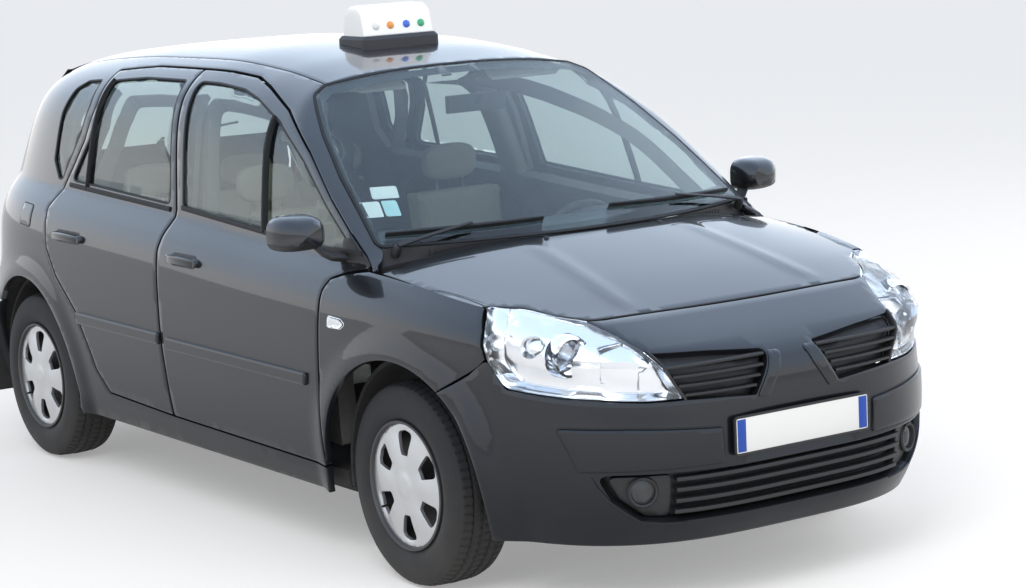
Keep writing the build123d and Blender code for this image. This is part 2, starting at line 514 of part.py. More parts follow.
SW = (470.0, 370.0, 860.0)
SW_AX = Vector(-.93, 0, .37).normalized()
column = Solid.make_cylinder(24, 180, Plane(origin=Vector(*SW) - SW_AX*60 - SW_AX*180, z_dir=SW_AX))
dash = dash + (column & box(0, 688, 0, 700, 0, 1200))
put("dashboard", dash)
tor = Solid.make_torus(182, 15, Plane(origin=SW, z_dir=SW_AX))
hub = Solid.make_cylinder(62, 34, Plane(origin=Vector(*SW) - SW_AX*30, z_dir=SW_AX))
pl = Plane(origin=Vector(*SW) - SW_AX*22, z_dir=SW_AX)
for a in (90, 210, 330) if False else (0, 90, 180):
    hub = hub + pl * Rot(0, 0, a + 0) * Pos(118, 0, 6) * Box(140, 34, 14)
put("steering_wheel", tor + hub + Solid.make_cylinder(17, 30, Plane(origin=Vector(*SW) - SW_AX*59.5, z_dir=SW_AX)))

# ---- outside fittings
cowl = prism_z([(1010, -700), (1100, -640), (1128, -300), (1136, 0), (1128, 300), (1100, 640), (1010, 700), (960, 660), (985, 0), (960, -660)], 905, 985)
put("cowl", cowl - BON - AHEAD)
rear_view = box(420, 440, -120, 120, 1385, 1445)
stem = Solid.make_cylinder(9, 90, Plane(origin=(436, 0, 1415), z_dir=(.52, 0, .855))) - screen(-22, -7.3, 300.0, .02, .985)
put("interior_mirror", rear_view + stem)
SIGN = (-120.0, 1745.0)
sign = prism_y([(-200, 1640), (-40, 1636), (-70, 1740), (-110, 1750), (-150, 1746), (-185, 1725)], -160, 160)
sign = sign + (box(-225, -15, -175, 175, 1560, 1641) - ext(ROOF_TOP, (0, 0, -400)))
put("roof_sign", sign)
mir = prism_x([(905, 1040), (905, 1120), (935, 1165), (1005, 1160), (1030, 1120), (1020, 1050), (960, 1030)], 740, 860)
foot = prism_x([(800, 975), (800, 1030), (910, 1090), (910, 1050), (850, 975)], 760, 850)
mir = mir + (foot - ext(LOWER, (0, -300, 0)) - green(-1, -1))
put("mirror_left", mir)
put("mirror_right", other(one(mir)))
wip = []
for y0, y1 in ((-560, -40), (560, 40)):
    pts = [(y0, 985), (y1, 1010)]
    w = screen(0, SEAT - 1, 14.0, .02, .9) & prism_x([(y0, 1052), (y1, 1085), (y1, 1105), (y0, 1072)], 900, 1300)
    wip.append(w)
put("wipers", wip)

os.makedirs("parts", exist_ok=True)
for f in os.listdir("parts"):
    os.remove(os.path.join("parts", f))
for n, q in PARTS.items():
    export_step(q[0] if len(q) == 1 else Compound(children=q), "parts/%s.step" % n)

for n in PARTS:
    bb=[k.bounding_box() for k in PARTS[n]]
    print(n, [round(v) for v in (min(q.min.X for q in bb),max(q.max.X for q in bb),min(q.min.Y for q in bb),max(q.max.Y for q in bb),min(q.min.Z for q in bb),max(q.max.Z for q in bb))])
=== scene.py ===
"""Taxi cab: a compact people carrier, dressed over its packed frame.

Lengths inside the form functions are millimetres, X forward, Y left, Z up; meshes are written in metres.
"""
import math

import bpy
import numpy as np
from mathutils import Matrix, Vector
from mathutils.geometry import delaunay_2d_cdt


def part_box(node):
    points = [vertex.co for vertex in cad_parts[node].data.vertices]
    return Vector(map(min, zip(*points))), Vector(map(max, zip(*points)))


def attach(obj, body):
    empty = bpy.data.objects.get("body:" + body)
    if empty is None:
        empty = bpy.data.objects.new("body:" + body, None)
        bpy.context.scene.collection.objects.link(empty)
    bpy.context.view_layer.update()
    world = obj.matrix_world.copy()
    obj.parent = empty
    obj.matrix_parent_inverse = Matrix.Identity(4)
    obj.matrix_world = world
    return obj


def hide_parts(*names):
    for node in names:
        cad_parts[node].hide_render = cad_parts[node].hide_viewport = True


bl_info = {
    "name": "Taxi cab",
    "version": (1, 0, 0),
    "blender": (4, 5, 0),
    "location": "View3D > Sidebar > Taxi cab",
    "description": "Body panels, glass, lamps, wheels and cabin of a compact taxi cab",
    "category": "Object",
}

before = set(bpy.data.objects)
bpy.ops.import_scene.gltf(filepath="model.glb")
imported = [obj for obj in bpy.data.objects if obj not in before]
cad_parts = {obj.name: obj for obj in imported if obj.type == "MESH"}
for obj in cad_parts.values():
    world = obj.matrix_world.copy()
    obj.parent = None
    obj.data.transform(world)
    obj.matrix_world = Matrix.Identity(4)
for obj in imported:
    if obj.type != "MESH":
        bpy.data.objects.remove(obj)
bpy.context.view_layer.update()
MM = .001
SIDES = (("left", 1), ("right", -1))
AXLE_F, AXLE_R, AXLE_Z, TRACK = 1209.5, -1475.5, 315.0, 1506.0
CORNERS = [(end + "_" + side, x, sy)
           for end, x in (("front", AXLE_F), ("rear", AXLE_R)) for side, sy in SIDES]
WHEEL_Z, ARCH_R, WELL_R = 326.0, 412.0, 427.0

# ---- body form
# The form starts at height Z0. BELT, ROOF and BONNET are heights along x. The others run along a share of the
# height: HALF is the half width, NOSE and TAIL how far the plan reaches, NOSE_N and TAIL_N the power of its
# superellipse. XF and XR are where the plan starts to round off, TUMBLE how far the sides lean in.
Z0 = 200.0
BELT = ([-2130, -1300, -230, 250, 900, 1575, 1830, 2130], [1100, 1080, 1040, 1012, 985, 912, 868, 830])
ROOF = ([-2130, -1750, -1400, -900, -400, 0, 300, 700, 2130],
        [1480, 1548, 1582, 1612, 1620, 1595, 1548, 1480, 1480])
HALF = ([0, .12, .30, .50, .71, .85, .91, 1.0], [845, 868, 890, 900, 894, 880, 860, 800])
NOSE = ([0, .127, .30, .487, .66, .78, .846, .9, .955, 1.0],
        [2046, 2090, 2112, 2115, 2109, 2103, 2087, 2030, 1930, 1830])
NOSE_N = ([0, .75, 1.0], [3.3, 3.3, 5.2])
TAIL = ([0, .15, .30, .45, .55, .62, .8, 1.0], [-2040, -2100, -2126, -2129.5, -2120, -2085, -2070, -2035])
TAIL_UP = ([0, .5, .85, 1.0], [-2035, -1930, -1830, -1760])
TAIL_N, XF, XR, TUMBLE = 6.0, 600.0, -300.0, .20
BONNET = ([800, 1140, 1500, 1830, 2130], [1080, 1035, 960, 872, 780])
# the windscreen runs from (WS_X0, WS_Z0) to (WS_X1, WS_Z1) and bends back by WS_K times y squared
WS_X0, WS_Z0, WS_X1, WS_Z1, WS_K = 1140.0, 1035.0, 300.0, 1545.0, 3.5e-4
SCREEN_NORMAL = np.array([.52, 0, .855])
# the charts of nose and tail count the height share in steps of 1/SPAN
SPAN = 650


def columns(*parts):
    """points from their coordinates; single numbers are spread over all points"""
    return np.stack(np.broadcast_arrays(*parts), -1)


def curve(x, table):
    """smooth curve through a table: cubic pieces whose slopes are the harmonic means of their neighbours"""
    xs, ys = np.asarray(table[0], float), np.asarray(table[1], float)
    x = np.clip(np.asarray(x, float), xs[0], xs[-1])
    h, d = np.diff(xs), np.diff(ys) / np.diff(xs)
    m = np.zeros_like(ys)
    m[0], m[-1] = d[0], d[-1]
    same = d[:-1] * d[1:] > 0
    ahead, behind = np.where(same, d[1:], 1), np.where(same, d[:-1], 1)
    m[1:-1][same] = ((h[:-1] + h[1:]) / (h[:-1]/ahead + h[1:]/behind))[same]
    i = np.clip(np.searchsorted(xs, x) - 1, 0, len(xs) - 2)
    t = (x - xs[i]) / h[i]
    return (ys[i] * (2*t**3 - 3*t**2 + 1) + m[i]*h[i]*(t**3 - 2*t**2 + t)
            + ys[i+1] * (3*t**2 - 2*t**3) + m[i+1]*h[i]*(t**3 - t**2))


def belt(x):
    """height of the belt line at x"""
    return curve(x, BELT)


def roof_mid(x):
    """height of the roof's middle line at x"""
    return curve(x, ROOF)


def fade(v, a, b):
    """smooth step from 0 at a to 1 at b"""
    t = np.clip((v - a) / (b - a), 0, 1)
    return t*t*(3 - 2*t)


def share(z, top):
    """share of the height from Z0 to top"""
    return np.clip((z - Z0)/(top - Z0), 0, 1)


def partner(u, n):
    """the other coordinate of a superellipse of power n"""
    return (1 - u**n)**(1/n)


def cabin_half(rise, q):
    """half width at a rise above the belt, which is the share q of the way to the roof"""
    return (HALF[1][-1] - TUMBLE*rise) * (1 - q**6)**(1/3)


def plain_half(x, z):
    """half width of the body: a superellipse in plan, sized by the tables, leaning in above the belt"""
    x, z = np.broadcast_arrays(np.asarray(x, float), np.asarray(z, float))
    b = belt(x)
    e = share(z, b)
    q = np.clip((z - b) / (roof_mid(x) - b), 0, .9999)
    nose = np.where(z <= b, curve(e, NOSE), 2400.0)
    tail = np.where(z <= b, curve(e, TAIL), curve(q, TAIL_UP))
    n = np.where(z <= b, curve(e, NOSE_N), 2.6)
    half = np.where(z <= b, curve(e, HALF), cabin_half(z - b, q))
    sf = np.clip((x - XF) / (nose - XF), 0, .99999)
    sr = np.clip((XR - x) / (XR - tail), 0, .99999)
    return half * partner(sf, n) * partner(sr, TAIL_N)


def lip(x, z):
    """how far the wheel-arch lips stand out: full near the arch, gone 90 mm from it"""
    out = 0
    for ax, y0, k in ((AXLE_F, 866, -.035), (AXLE_R, 872, .02)):
        r = np.hypot(x - ax, z - AXLE_Z)
        want = 12 + 26*np.tanh(np.clip(y0 + k*(x - ax) - plain_half(x, z) - 12, 0, 200)/26)
        out = out + want * (1 - fade(r, ARCH_R + 8, ARCH_R + 104))
    return out


def half_width(x, z):
    """half width of the body with its arch lips"""
    return plain_half(x, z) + lip(x, z)


def tail_x(y, z):
    """rear face of the body at y, z"""
    b = float(belt(-2050.0))
    y, z = np.broadcast_arrays(np.asarray(y, float), np.asarray(z, float))
    e = share(z, b)
    q = np.clip((z - b) / (float(roof_mid(-1800.0)) - b), 0, 1)
    t = np.where(z <= b, curve(e, TAIL), curve(q, TAIL_UP))
    w = np.where(z <= b, curve(e, HALF), HALF[1][-1] - TUMBLE*(z - b))
    return XR - (XR - t) * partner(np.clip(np.abs(y)/w, 0, .999), TAIL_N)


def roof_z(x, y):
    """roof height at x, y: the height at which the glasshouse is that wide, by halving"""
    x, y = np.broadcast_arrays(np.asarray(x, float), np.abs(np.asarray(y, float)))
    b, top = belt(x), roof_mid(x)
    lo, hi = b.copy(), top.copy()
    for _ in range(30):
        m = (lo + hi) / 2
        q = (m - b) / (top - b)
        sr = np.clip((XR - np.maximum(x, -1700)) / (XR - curve(q, TAIL_UP)), 0, .9999)
        w = cabin_half(m - b, q) * partner(sr, TAIL_N)
        lo, hi = np.where(w > y, m, lo), np.where(w > y, hi, m)
    return lo


def bonnet_z(x, y):
    """bonnet height at x, y, with its two soft creases"""
    zc, ze = curve(x, BONNET), belt(x)
    yw = HALF[1][-1] * partner(np.clip((x - XF)/(2200.0 - XF), 0, 1), 2.6)
    r = np.clip(np.abs(y)/yw, 0, 1.15)
    ridge = np.exp(-((np.abs(y) - 300 - .10*(x - 1100))/26)**2)
    crease = 5.0*ridge * fade(x, 1120, 1250) * (1 - fade(x, 1700, 1815))
    return zc + (ze - zc)*r**2.4 + crease


def screen_x(y, z):
    """x of the windscreen at y, z"""
    s = (z - WS_Z0) / (WS_Z1 - WS_Z0)
    return WS_X0 + (WS_X1 - WS_X0)*s + 100*s*(1 - s) - WS_K*y*y


# ---- charts: a flat pair (p, q) laid on the form
def on_tail(sink=0.0):
    """p is y, q is z"""
    return lambda p, q: columns(tail_x(p, q) + sink, p, q)


def on_roof(p, q):
    """p is x, q is y"""
    return columns(p, q, roof_z(p, q))


def on_bonnet(p, q):
    """p is x, q is y"""
    return columns(p, q, bonnet_z(p, q))


def on_screen(sink=0.0):
    """p is y, q is z"""
    return lambda p, q: columns(screen_x(p, q) - SCREEN_NORMAL[0]*sink, p, q - SCREEN_NORMAL[2]*sink)


def on_nose(sink=0.0, carve=None):
    """p is the plan angle in milliradians, q the height share times SPAN"""
    def lift(p, q):
        f, e = p/1000, np.minimum(q/SPAN, 1)
        n, a, b = curve(e, NOSE_N), curve(e, NOSE) - XF, curve(e, HALF)
        c, s = np.cos(f), np.sin(f)
        r = (np.abs(c)**n + np.abs(s)**n)**(-1/n)
        x, y = XF + a*r*c, b*r*s
        z = Z0 + e*(belt(x) - Z0)
        over = np.maximum(q - SPAN, 0)
        z = np.where(over > 0, bonnet_z(x - over, y) + (z - bonnet_z(x, y))*np.exp(-over/25), z)
        x = x - over
        out = lip(x, z)
        depth = sink + (carve(np.abs(y), z, x) if carve else 0)
        nx, ny = (np.abs(c)*r)**(n-1)/a, (np.abs(s)*r)**(n-1)/b
        k = np.hypot(nx, ny)
        return columns(x - depth*nx/k, y + np.sign(s)*(out - depth*ny/k), z)
    return lift


def nose_yz(y, z):
    """chart place of the nose point at y, z"""
    y, z = np.asarray(y, float), np.asarray(z, float)
    x = np.full_like(z, 2000.0)
    for _ in range(12):
        e = share(z, belt(x))
        n, a, b = curve(e, NOSE_N), curve(e, NOSE) - XF, curve(e, HALF)
        u = np.clip(np.abs(y)/b, 0, .9999)
        v = partner(u, n)
        x = XF + a*v
    return columns(1000*np.arctan2(u, v)*np.sign(y + 1e-9), SPAN*e)


def nose_xz(x, z, sign=1):
    """chart place of the nose point at x, z"""
    x, z = np.asarray(x, float), np.asarray(z, float)
    e = share(z, belt(x))
    n, a = curve(e, NOSE_N), curve(e, NOSE) - XF
    v = np.clip((x - XF)/a, 0, .9999)
    u = partner(v, n)
    return columns(sign*1000*np.arctan2(u, v), SPAN*e)


def on_rear(sink=0.0):
    """p is the plan angle in milliradians round the tail, q the height share times SPAN"""
    def lift(p, q):
        f, e = p/1000, q/SPAN
        a, b = XR - curve(e, TAIL), curve(e, HALF)
        c, s = np.cos(f), np.sin(f)
        r = (np.abs(c)**TAIL_N + np.abs(s)**TAIL_N)**(-1/TAIL_N)
        x, y = XR - a*r*c, b*r*s
        z = Z0 + e*(belt(x) - Z0)
        nx, ny = (np.abs(c)*r)**5/a, (np.abs(s)*r)**5/b
        k = np.hypot(nx, ny)
        return columns(x + sink*nx/k, y + np.sign(s)*(lip(x, z) - sink*ny/k), z)
    return lift


def rear_xz(x, z):
    """chart place of the tail point at x, z"""
    x, z = np.asarray(x, float), np.asarray(z, float)
    e = share(z, belt(x))
    v = np.clip((XR - x)/(XR - curve(e, TAIL)), 0, .9999)
    u = partner(v, TAIL_N)
    return columns(1000*np.arctan2(u, v), SPAN*e)


def rear_yz(y, z):
    """chart place of the tail point at y, z"""
    y, z = np.asarray(y, float), np.asarray(z, float)
    x = np.full_like(z, -2050.0)
    for _ in range(8):
        e = share(z, belt(x))
        u = np.clip(np.abs(y)/curve(e, HALF), 0, .9999)
        v = partner(u, TAIL_N)
        x = XR - (XR - curve(e, TAIL))*v
    return columns(1000*np.arctan2(u, v)*np.sign(y + 1e-9), SPAN*e)


def placed(chart, pts, side=1, **more):
    """chart places of many points, mirrored for side -1"""
    return chart(*(np.asarray(pts, float)*[side, 1]).T, **more)


# ---- mesh tools
def spaced(line, step, closed=True):
    """the same line with points no further apart than step"""
    line = np.asarray(line, float)
    ends = np.roll(line, -1, 0) if closed else line[1:]
    starts = line if closed else line[:-1]
    out = []
    for a, b in zip(starts, ends):
        n = max(1, int(math.ceil(np.linalg.norm(b - a) / step)))
        out.append(a + (b - a) * (np.arange(n)/n)[:, None])
    if not closed:
        out.append(line[-1:])
    return np.concatenate(out)


def rounded(pts, radius, count=6):
    """closed outline with each corner replaced by an arc-like bend of the given radius"""
    p = np.asarray(pts, float)
    rad = np.broadcast_to(np.asarray(radius, float), (len(p),))
    out = []
    for i in range(len(p)):
        a, b, c = p[i-1], p[i], p[(i+1) % len(p)]
        u, v = a - b, c - b
        lu, lv = np.linalg.norm(u), np.linalg.norm(v)
        half = math.acos(max(-1, min(1, float(u @ v)/(lu*lv))))/2
        if rad[i] < .5 or half > 1.5:
            out.append(b[None])
            continue
        cut = min(rad[i]/math.tan(half), .45*lu, .45*lv)
        s, e = b + u/lu*cut, b + v/lv*cut
        t = np.linspace(0, 1, count)[:, None]
        out.append((1-t)**2*s + 2*t*(1-t)*b + t**2*e)
    return np.concatenate(out)


def grown(pts, d):
    """closed outline moved outwards by d"""
    p = np.asarray(pts, float)
    nxt, prv = np.roll(p, -1, 0), np.roll(p, 1, 0)
    area = np.sum(p[:, 0]*nxt[:, 1] - nxt[:, 0]*p[:, 1])
    s = 1 if area > 0 else -1
    u = (p - prv)/np.linalg.norm(p - prv, axis=1)[:, None]
    v = (nxt - p)/np.linalg.norm(nxt - p, axis=1)[:, None]
    n1, n2 = columns(u[:, 1], -u[:, 0])*s, columns(v[:, 1], -v[:, 0])*s
    k = (n1 + n2)/np.maximum(.25, 1 + (n1*n2).sum(1))[:, None]
    return p + k*d


def inside(pts, poly):
    """even-odd test of many points against one closed outline"""
    x, y = pts[:, 0][:, None], pts[:, 1][:, None]
    a, b = np.asarray(poly), np.roll(np.asarray(poly), -1, 0)
    over = (b[:, 0]-a[:, 0])*(y-a[:, 1])/(b[:, 1]-a[:, 1] + 1e-12) + a[:, 0]
    cross = ((a[:, 1] > y) != (b[:, 1] > y)) & (x < over)
    return cross.sum(1) % 2 == 1


def nearest(pts, others):
    """distance of each point to the nearest of the others, worked out in batches"""
    return np.concatenate([np.min(np.hypot(c[:, None, 0] - others[:, 0], c[:, None, 1] - others[:, 1]), 1)
                           for c in np.array_split(pts, max(1, len(pts)//600))])


def normals_at(lift, p, q, flip):
    """the form's outward normals at chart places"""
    h = .5
    du = lift(p + h, q) - lift(p - h, q)
    dv = lift(p, q + h) - lift(p, q - h)
    n = np.cross(du, dv)
    n /= np.linalg.norm(n, axis=1)[:, None] + 1e-12
    return -n if flip else n


def panel(outline, lift, flip=False, holes=(), step=26.0, edge=3.0, back=16.0, rows=(), fine=.55, shut=False):
    """a pressed panel: an outline filled with even points, laid on the form by lift, its rim rolled in and
    turned back. rows adds lines of points where the form has a crease; shut closes the back too."""
    loops = [spaced(outline, step*fine)] + [spaced(h, step*fine) for h in holes]
    allb = np.concatenate(loops)
    lo, hi = allb.min(0), allb.max(0)
    gx = np.arange(lo[0] + step*.5, hi[0], step)
    gy = np.arange(lo[1] + step*.5, hi[1], step)
    inner = np.stack(np.meshgrid(gx, gy), -1).reshape(-1, 2)
    if len(rows):
        extra = np.concatenate([spaced(r, step*.5, False) for r in rows])
        inner = np.concatenate([inner[nearest(inner, extra[::2]) > step*.35], extra])
    keep = inside(inner, loops[0])
    for h in loops[1:]:
        keep &= ~inside(inner, h)
    inner = inner[keep]
    inner = inner[nearest(inner, allb) > step*.42]
    pts = np.concatenate([allb, inner])
    edges, at = [], 0
    for lp in loops:
        n = len(lp)
        edges += [(at + i, at + (i+1) % n) for i in range(n)]
        at += n
    v, _, f, ov, _, _ = delaunay_2d_cdt([Vector(p) for p in pts], edges, [], 0, 1e-4)
    v2 = np.array([tuple(a) for a in v])
    tri = np.array(f)
    c = v2[tri].mean(1)
    ok = inside(c, loops[0])
    for h in loops[1:]:
        ok &= ~inside(c, h)
    tri = tri[ok]
    a, b, d = v2[tri[:, 0]], v2[tri[:, 1]], v2[tri[:, 2]]
    turn = (b[:, 0]-a[:, 0])*(d[:, 1]-a[:, 1]) - (b[:, 1]-a[:, 1])*(d[:, 0]-a[:, 0])
    tri[turn < 0] = tri[turn < 0][:, ::-1]
    if flip:
        tri = tri[:, ::-1]
    index = {o: i for i, os_ in enumerate(ov) for o in os_}
    co = lift(*v2.T)
    nrm = normals_at(lift, *v2.T, flip)
    faces, extra_co, at, count = [], [], 0, len(co)
    for k, lp in enumerate(loops):
        n = len(lp)
        ids = np.array([index[at + i] for i in range(n)])
        at += n
        P, N = co[ids].copy(), nrm[ids]
        T = np.roll(P, -1, 0) - np.roll(P, 1, 0)
        area = np.sum(lp[:, 0]*np.roll(lp[:, 1], -1) - np.roll(lp[:, 0], -1)*lp[:, 1])
        away = np.cross(T, N)
        away /= np.linalg.norm(away, axis=1)[:, None] + 1e-12
        ccw = (area > 0) != flip
        out = away if ccw else -away
        if k:
            out = -out
        rings = [P - out*edge*.3 - N*edge*.3, P - N*edge, P - N*back]
        co[ids] = P - out*edge
        prev = ids
        for R in rings:
            cur = np.arange(count, count + n)
            count += n
            extra_co.append(R)
            nx = np.roll(np.arange(n), -1)
            q = columns(prev, cur, cur[nx], prev[nx])
            faces.append(q if ccw else q[:, ::-1])
            prev = cur
    co = np.concatenate([co] + extra_co)
    quads = [tuple(map(int, r)) for q in faces for r in q]
    out = [tuple(map(int, t)) for t in tri]
    if shut:
        base = len(co)
        co = np.concatenate([co, lift(*v2.T) - nrm*back])
        out += [tuple(int(i) + base for i in t[::-1]) for t in tri]
    return co, out + quads


def grid(rows, wrap_u=False, wrap_v=False, flip=False):
    """quads over a grid of points"""
    r = np.asarray(rows, float)
    n, m = r.shape[:2]
    i, j = np.meshgrid(np.arange(n if wrap_u else n-1), np.arange(m if wrap_v else m-1), indexing="ij")
    a, b = i*m + j, ((i+1) % n)*m + j
    c, d = ((i+1) % n)*m + (j+1) % m, i*m + (j+1) % m
    q = columns(a, b, c, d).reshape(-1, 4)
    return r.reshape(-1, 3), [tuple(map(int, k)) for k in (q[:, ::-1] if flip else q)]


def revolve(profile, centre, flip):
    """(radius, y) profile turned round the Y line through centre (x, z)"""
    p = np.asarray(profile, float)
    t = np.linspace(0, 2*np.pi, 96, endpoint=False)
    rows = columns(centre[0] + p[:, :1]*np.cos(t), p[:, 1:], centre[1] + p[:, :1]*np.sin(t))
    return grid(rows, wrap_v=True, flip=flip)


def turned(profile, place, axis, count):
    """(radius, height) profile turned round any axis through place"""
    p, axis = np.asarray(profile, float), np.asarray(axis, float)/np.linalg.norm(axis)
    u = np.cross(axis, (0, 0, 1.0) if abs(axis[2]) < .9 else (1.0, 0, 0))
    u /= np.linalg.norm(u)
    w = np.cross(axis, u)
    t = np.linspace(0, 2*np.pi, count, endpoint=False)
    ring = np.cos(t)[:, None]*u + np.sin(t)[:, None]*w
    rows = np.asarray(place, float) + p[:, 0, None, None]*ring + p[:, 1, None, None]*axis
    return grid(rows, wrap_v=True)


def sweep(path, profile, up, closed=False, scale=None):
    """profile (across, up) carried along path; up is one vector or one per point; scale tapers it"""
    P = np.asarray(path, float)
    T = (np.roll(P, -1, 0) - np.roll(P, 1, 0)) if closed else np.gradient(P, axis=0)
    T /= np.linalg.norm(T, axis=1)[:, None] + 1e-12
    U = np.broadcast_to(np.asarray(up, float), P.shape)
    A = np.cross(T, U)
    A /= np.linalg.norm(A, axis=1)[:, None] + 1e-12
    U = np.cross(A, T)
    pr = np.asarray(profile, float)
    s = np.ones(len(P)) if scale is None else np.asarray(scale, float)
    rows = P[:, None] + s[:, None, None]*(pr[None, :, 0, None]*A[:, None] + pr[None, :, 1, None]*U[:, None])
    co, f = grid(rows, wrap_u=closed, wrap_v=True, flip=True)
    if not closed:
        n, m = len(P), len(pr)
        f = f + [tuple(range(m)), tuple(range(n*m - 1, (n-1)*m - 1, -1))]
    return co, f


def along(points, count):
    """count points along a line through a few, evenly shared between them"""
    p = np.asarray(points, float)
    t = np.linspace(0, len(p) - 1, count)
    return columns(*[np.interp(t, range(len(p)), axis) for axis in p.T])


def disc(r, h=1.0, n=12):
    """round profile, or an oval one h times as high"""
    t = np.linspace(0, 2*np.pi, n, endpoint=False)
    return columns(r*np.cos(t), h*r*np.sin(t))


def slab(w, h, r=None):
    """rounded rectangle profile"""
    r = min(w, h)*.3 if r is None else r
    c = [(w/2, h/2), (-w/2, h/2), (-w/2, -h/2), (w/2, -h/2)]
    return rounded(c, r, 3)


def block(lo, hi, r):
    """box with rounded edges: an outline of the X-Z face swept along Y with drawn-in ends"""
    lo, hi = np.asarray(lo, float), np.asarray(hi, float)
    w, h = hi[0]-lo[0], hi[2]-lo[2]
    r = min(r, w*.45, h*.45, (hi[1]-lo[1])*.45)
    base = rounded([(w/2, h/2), (-w/2, h/2), (-w/2, -h/2), (w/2, -h/2)], r, 4)
    cx, cz = (lo[0]+hi[0])/2, (lo[2]+hi[2])/2
    t = np.linspace(0, np.pi/2, 3)
    ys = np.concatenate([lo[1] + r*(1-np.sin(t))[::-1], hi[1] - r*(1-np.sin(t))])
    ins = np.concatenate([r*(1-np.cos(t))[::-1], r*(1-np.cos(t))])
    rows = [columns(cx + base[:, 0]*(1 - 2*i/w), y, cz + base[:, 1]*(1 - 2*i/h)) for y, i in zip(ys, ins)]
    co, f = grid(np.array(rows), wrap_v=True, flip=True)
    m, k = len(base), len(rows)
    return co, f + [tuple(range(m)), tuple(range(k*m - 1, (k-1)*m - 1, -1))]


def strip_on(lift, form, q, profile, flip=False, **more):
    """strip of the given profile along a chart line, standing on the form"""
    return sweep(lift(*q.T), profile, normals_at(form, *q.T, flip), **more)


def seal_loop(lift, pts, profile, flip):
    """a strip of the given profile round an outline on the form"""
    return strip_on(lift, lift, spaced(pts, 16), profile, flip, closed=True)


FINISH = {}


def make(name, parts, look, body="car_body", replaces=(), sharp=32.0):
    """one object from a list of (vertices, faces[, finish number]); look names its finish or finishes.
    It rides on body, and its slot follows from its first finish unless one is given."""
    look = [look] if isinstance(look, str) else look
    cos, faces, mi, at = [], [], [], 0
    for part in parts:
        co, f = part[0], part[1]
        cos.append(co)
        faces += [tuple(i + at for i in t) for t in f]
        mi += [part[2] if len(part) > 2 else 0] * len(f)
        at += len(co)
    me = bpy.data.meshes.new(name)
    me.from_pydata((np.concatenate(cos)*MM).tolist(), [], faces)
    for key in look:
        me.materials.append(FINISH[key])
    me.polygons.foreach_set("material_index", mi)
    me.polygons.foreach_set("use_smooth", [True]*len(faces))
    me.validate()
    me.set_sharp_from_angle(angle=math.radians(sharp))
    ob = bpy.data.objects.new(name, me)
    bpy.context.scene.collection.objects.link(ob)
    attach(ob, body)
    if replaces:
        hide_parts(*replaces)
    return ob


# ---- flank chart: past WRAP_X it wraps round the tail
WRAP_X, WRAP = -1780.0, 1150.0
# lowest and highest z that the search tries, and how softly the pillar turns onto the glass
LOW_Z, HIGH_Z, SOFT = 180.0, 1640.0, 9


def rear_plan(z, x):
    """length and half width of the tail's plan curve at height z"""
    b = belt(x)
    e = share(z, b)
    q = np.clip((z - b)/(roof_mid(np.maximum(x, -1760.0)) - b), 0, .9999)
    t = np.where(z <= b, curve(e, TAIL), curve(q, TAIL_UP))
    w = np.where(z <= b, curve(e, HALF), cabin_half(z - b, q))
    return XR - t, w


def plan_angle(u):
    """plan angle of the tail's curve at u half widths from the middle"""
    return np.arctan2(u, partner(np.clip(u, 0, .9999), TAIL_N))


def flank_point(p, z):
    """x and y of the flank at chart place p and height z"""
    x1 = np.where(p > WRAP_X, p, WRAP_X)
    a, b = rear_plan(z, np.minimum(x1, WRAP_X))
    v1 = np.clip((XR - WRAP_X)/a, 0, .9999)
    f1 = np.arctan2(partner(v1, TAIL_N), v1)
    f = f1 * np.clip(1 - (WRAP_X - p)/WRAP, 0, 1)
    c, s = np.cos(f), np.sin(f)
    r = (c**TAIL_N + s**TAIL_N)**(-1/TAIL_N)
    return np.where(p > WRAP_X, p, XR - a*r*c), np.where(p > WRAP_X, plain_half(x1, z), b*r*s)


def past_glass(x, y, z):
    """how far a point stands ahead of the windscreen, fading to nothing behind it"""
    return SOFT*np.logaddexp(0, np.clip((x - screen_x(y, z))/SOFT, -60, 60))


def on_flank(sign=1, sink=0.0, turn=False):
    """p runs along the body and round the tail; q is height less half width, which keeps rising over sill,
    waist and roof. turn wraps the windscreen pillar round onto the glass."""
    def lift(p, q):
        p, q = np.asarray(p, float), np.asarray(q, float)
        lo, hi = np.full_like(p, LOW_Z), np.full_like(p, HIGH_Z)
        for _ in range(26):
            m = (lo + hi)/2
            up = m - flank_point(p, m)[1] < q
            lo, hi = np.where(up, m, lo), np.where(up, hi, m)
        x, y = flank_point(p, lo)
        out = lip(x, lo)
        if turn:
            w = fade(lo, belt(x) - 5, belt(x) + 45)
            y = y - w*past_glass(x, y, lo)
            x = x - w*past_glass(x, y, lo)
        if sink:
            h = 1.0
            x1, y1 = flank_point(p - h, lo)
            x2, y2 = flank_point(p, lo + h)
            n = np.cross(columns(x - x1, y - y1, 0*x), columns(x2 - x, y2 - y, 0*x + h))
            n /= -np.linalg.norm(n, axis=-1)[..., None]
            k = n*sink
            return columns(x - k[..., 0], sign*(y + out - k[..., 1]), lo - k[..., 2])
        return columns(x, sign*(y + out), lo)
    return lift


def flank(pts):
    """chart places of (x, z) points on the side"""
    a = np.asarray(pts, float)
    x, z = a[:, 0], a[:, 1]
    L, w = rear_plan(z, np.minimum(x, WRAP_X))
    u1, u = [partner(np.clip((XR - k)/L, 0, .9999), TAIL_N) for k in (WRAP_X, np.minimum(x, WRAP_X))]
    p = WRAP_X - WRAP*(1 - plan_angle(u)/plan_angle(u1))
    return columns(np.where(x > WRAP_X, x, p), z - np.where(x > WRAP_X, plain_half(x, z), w*u))


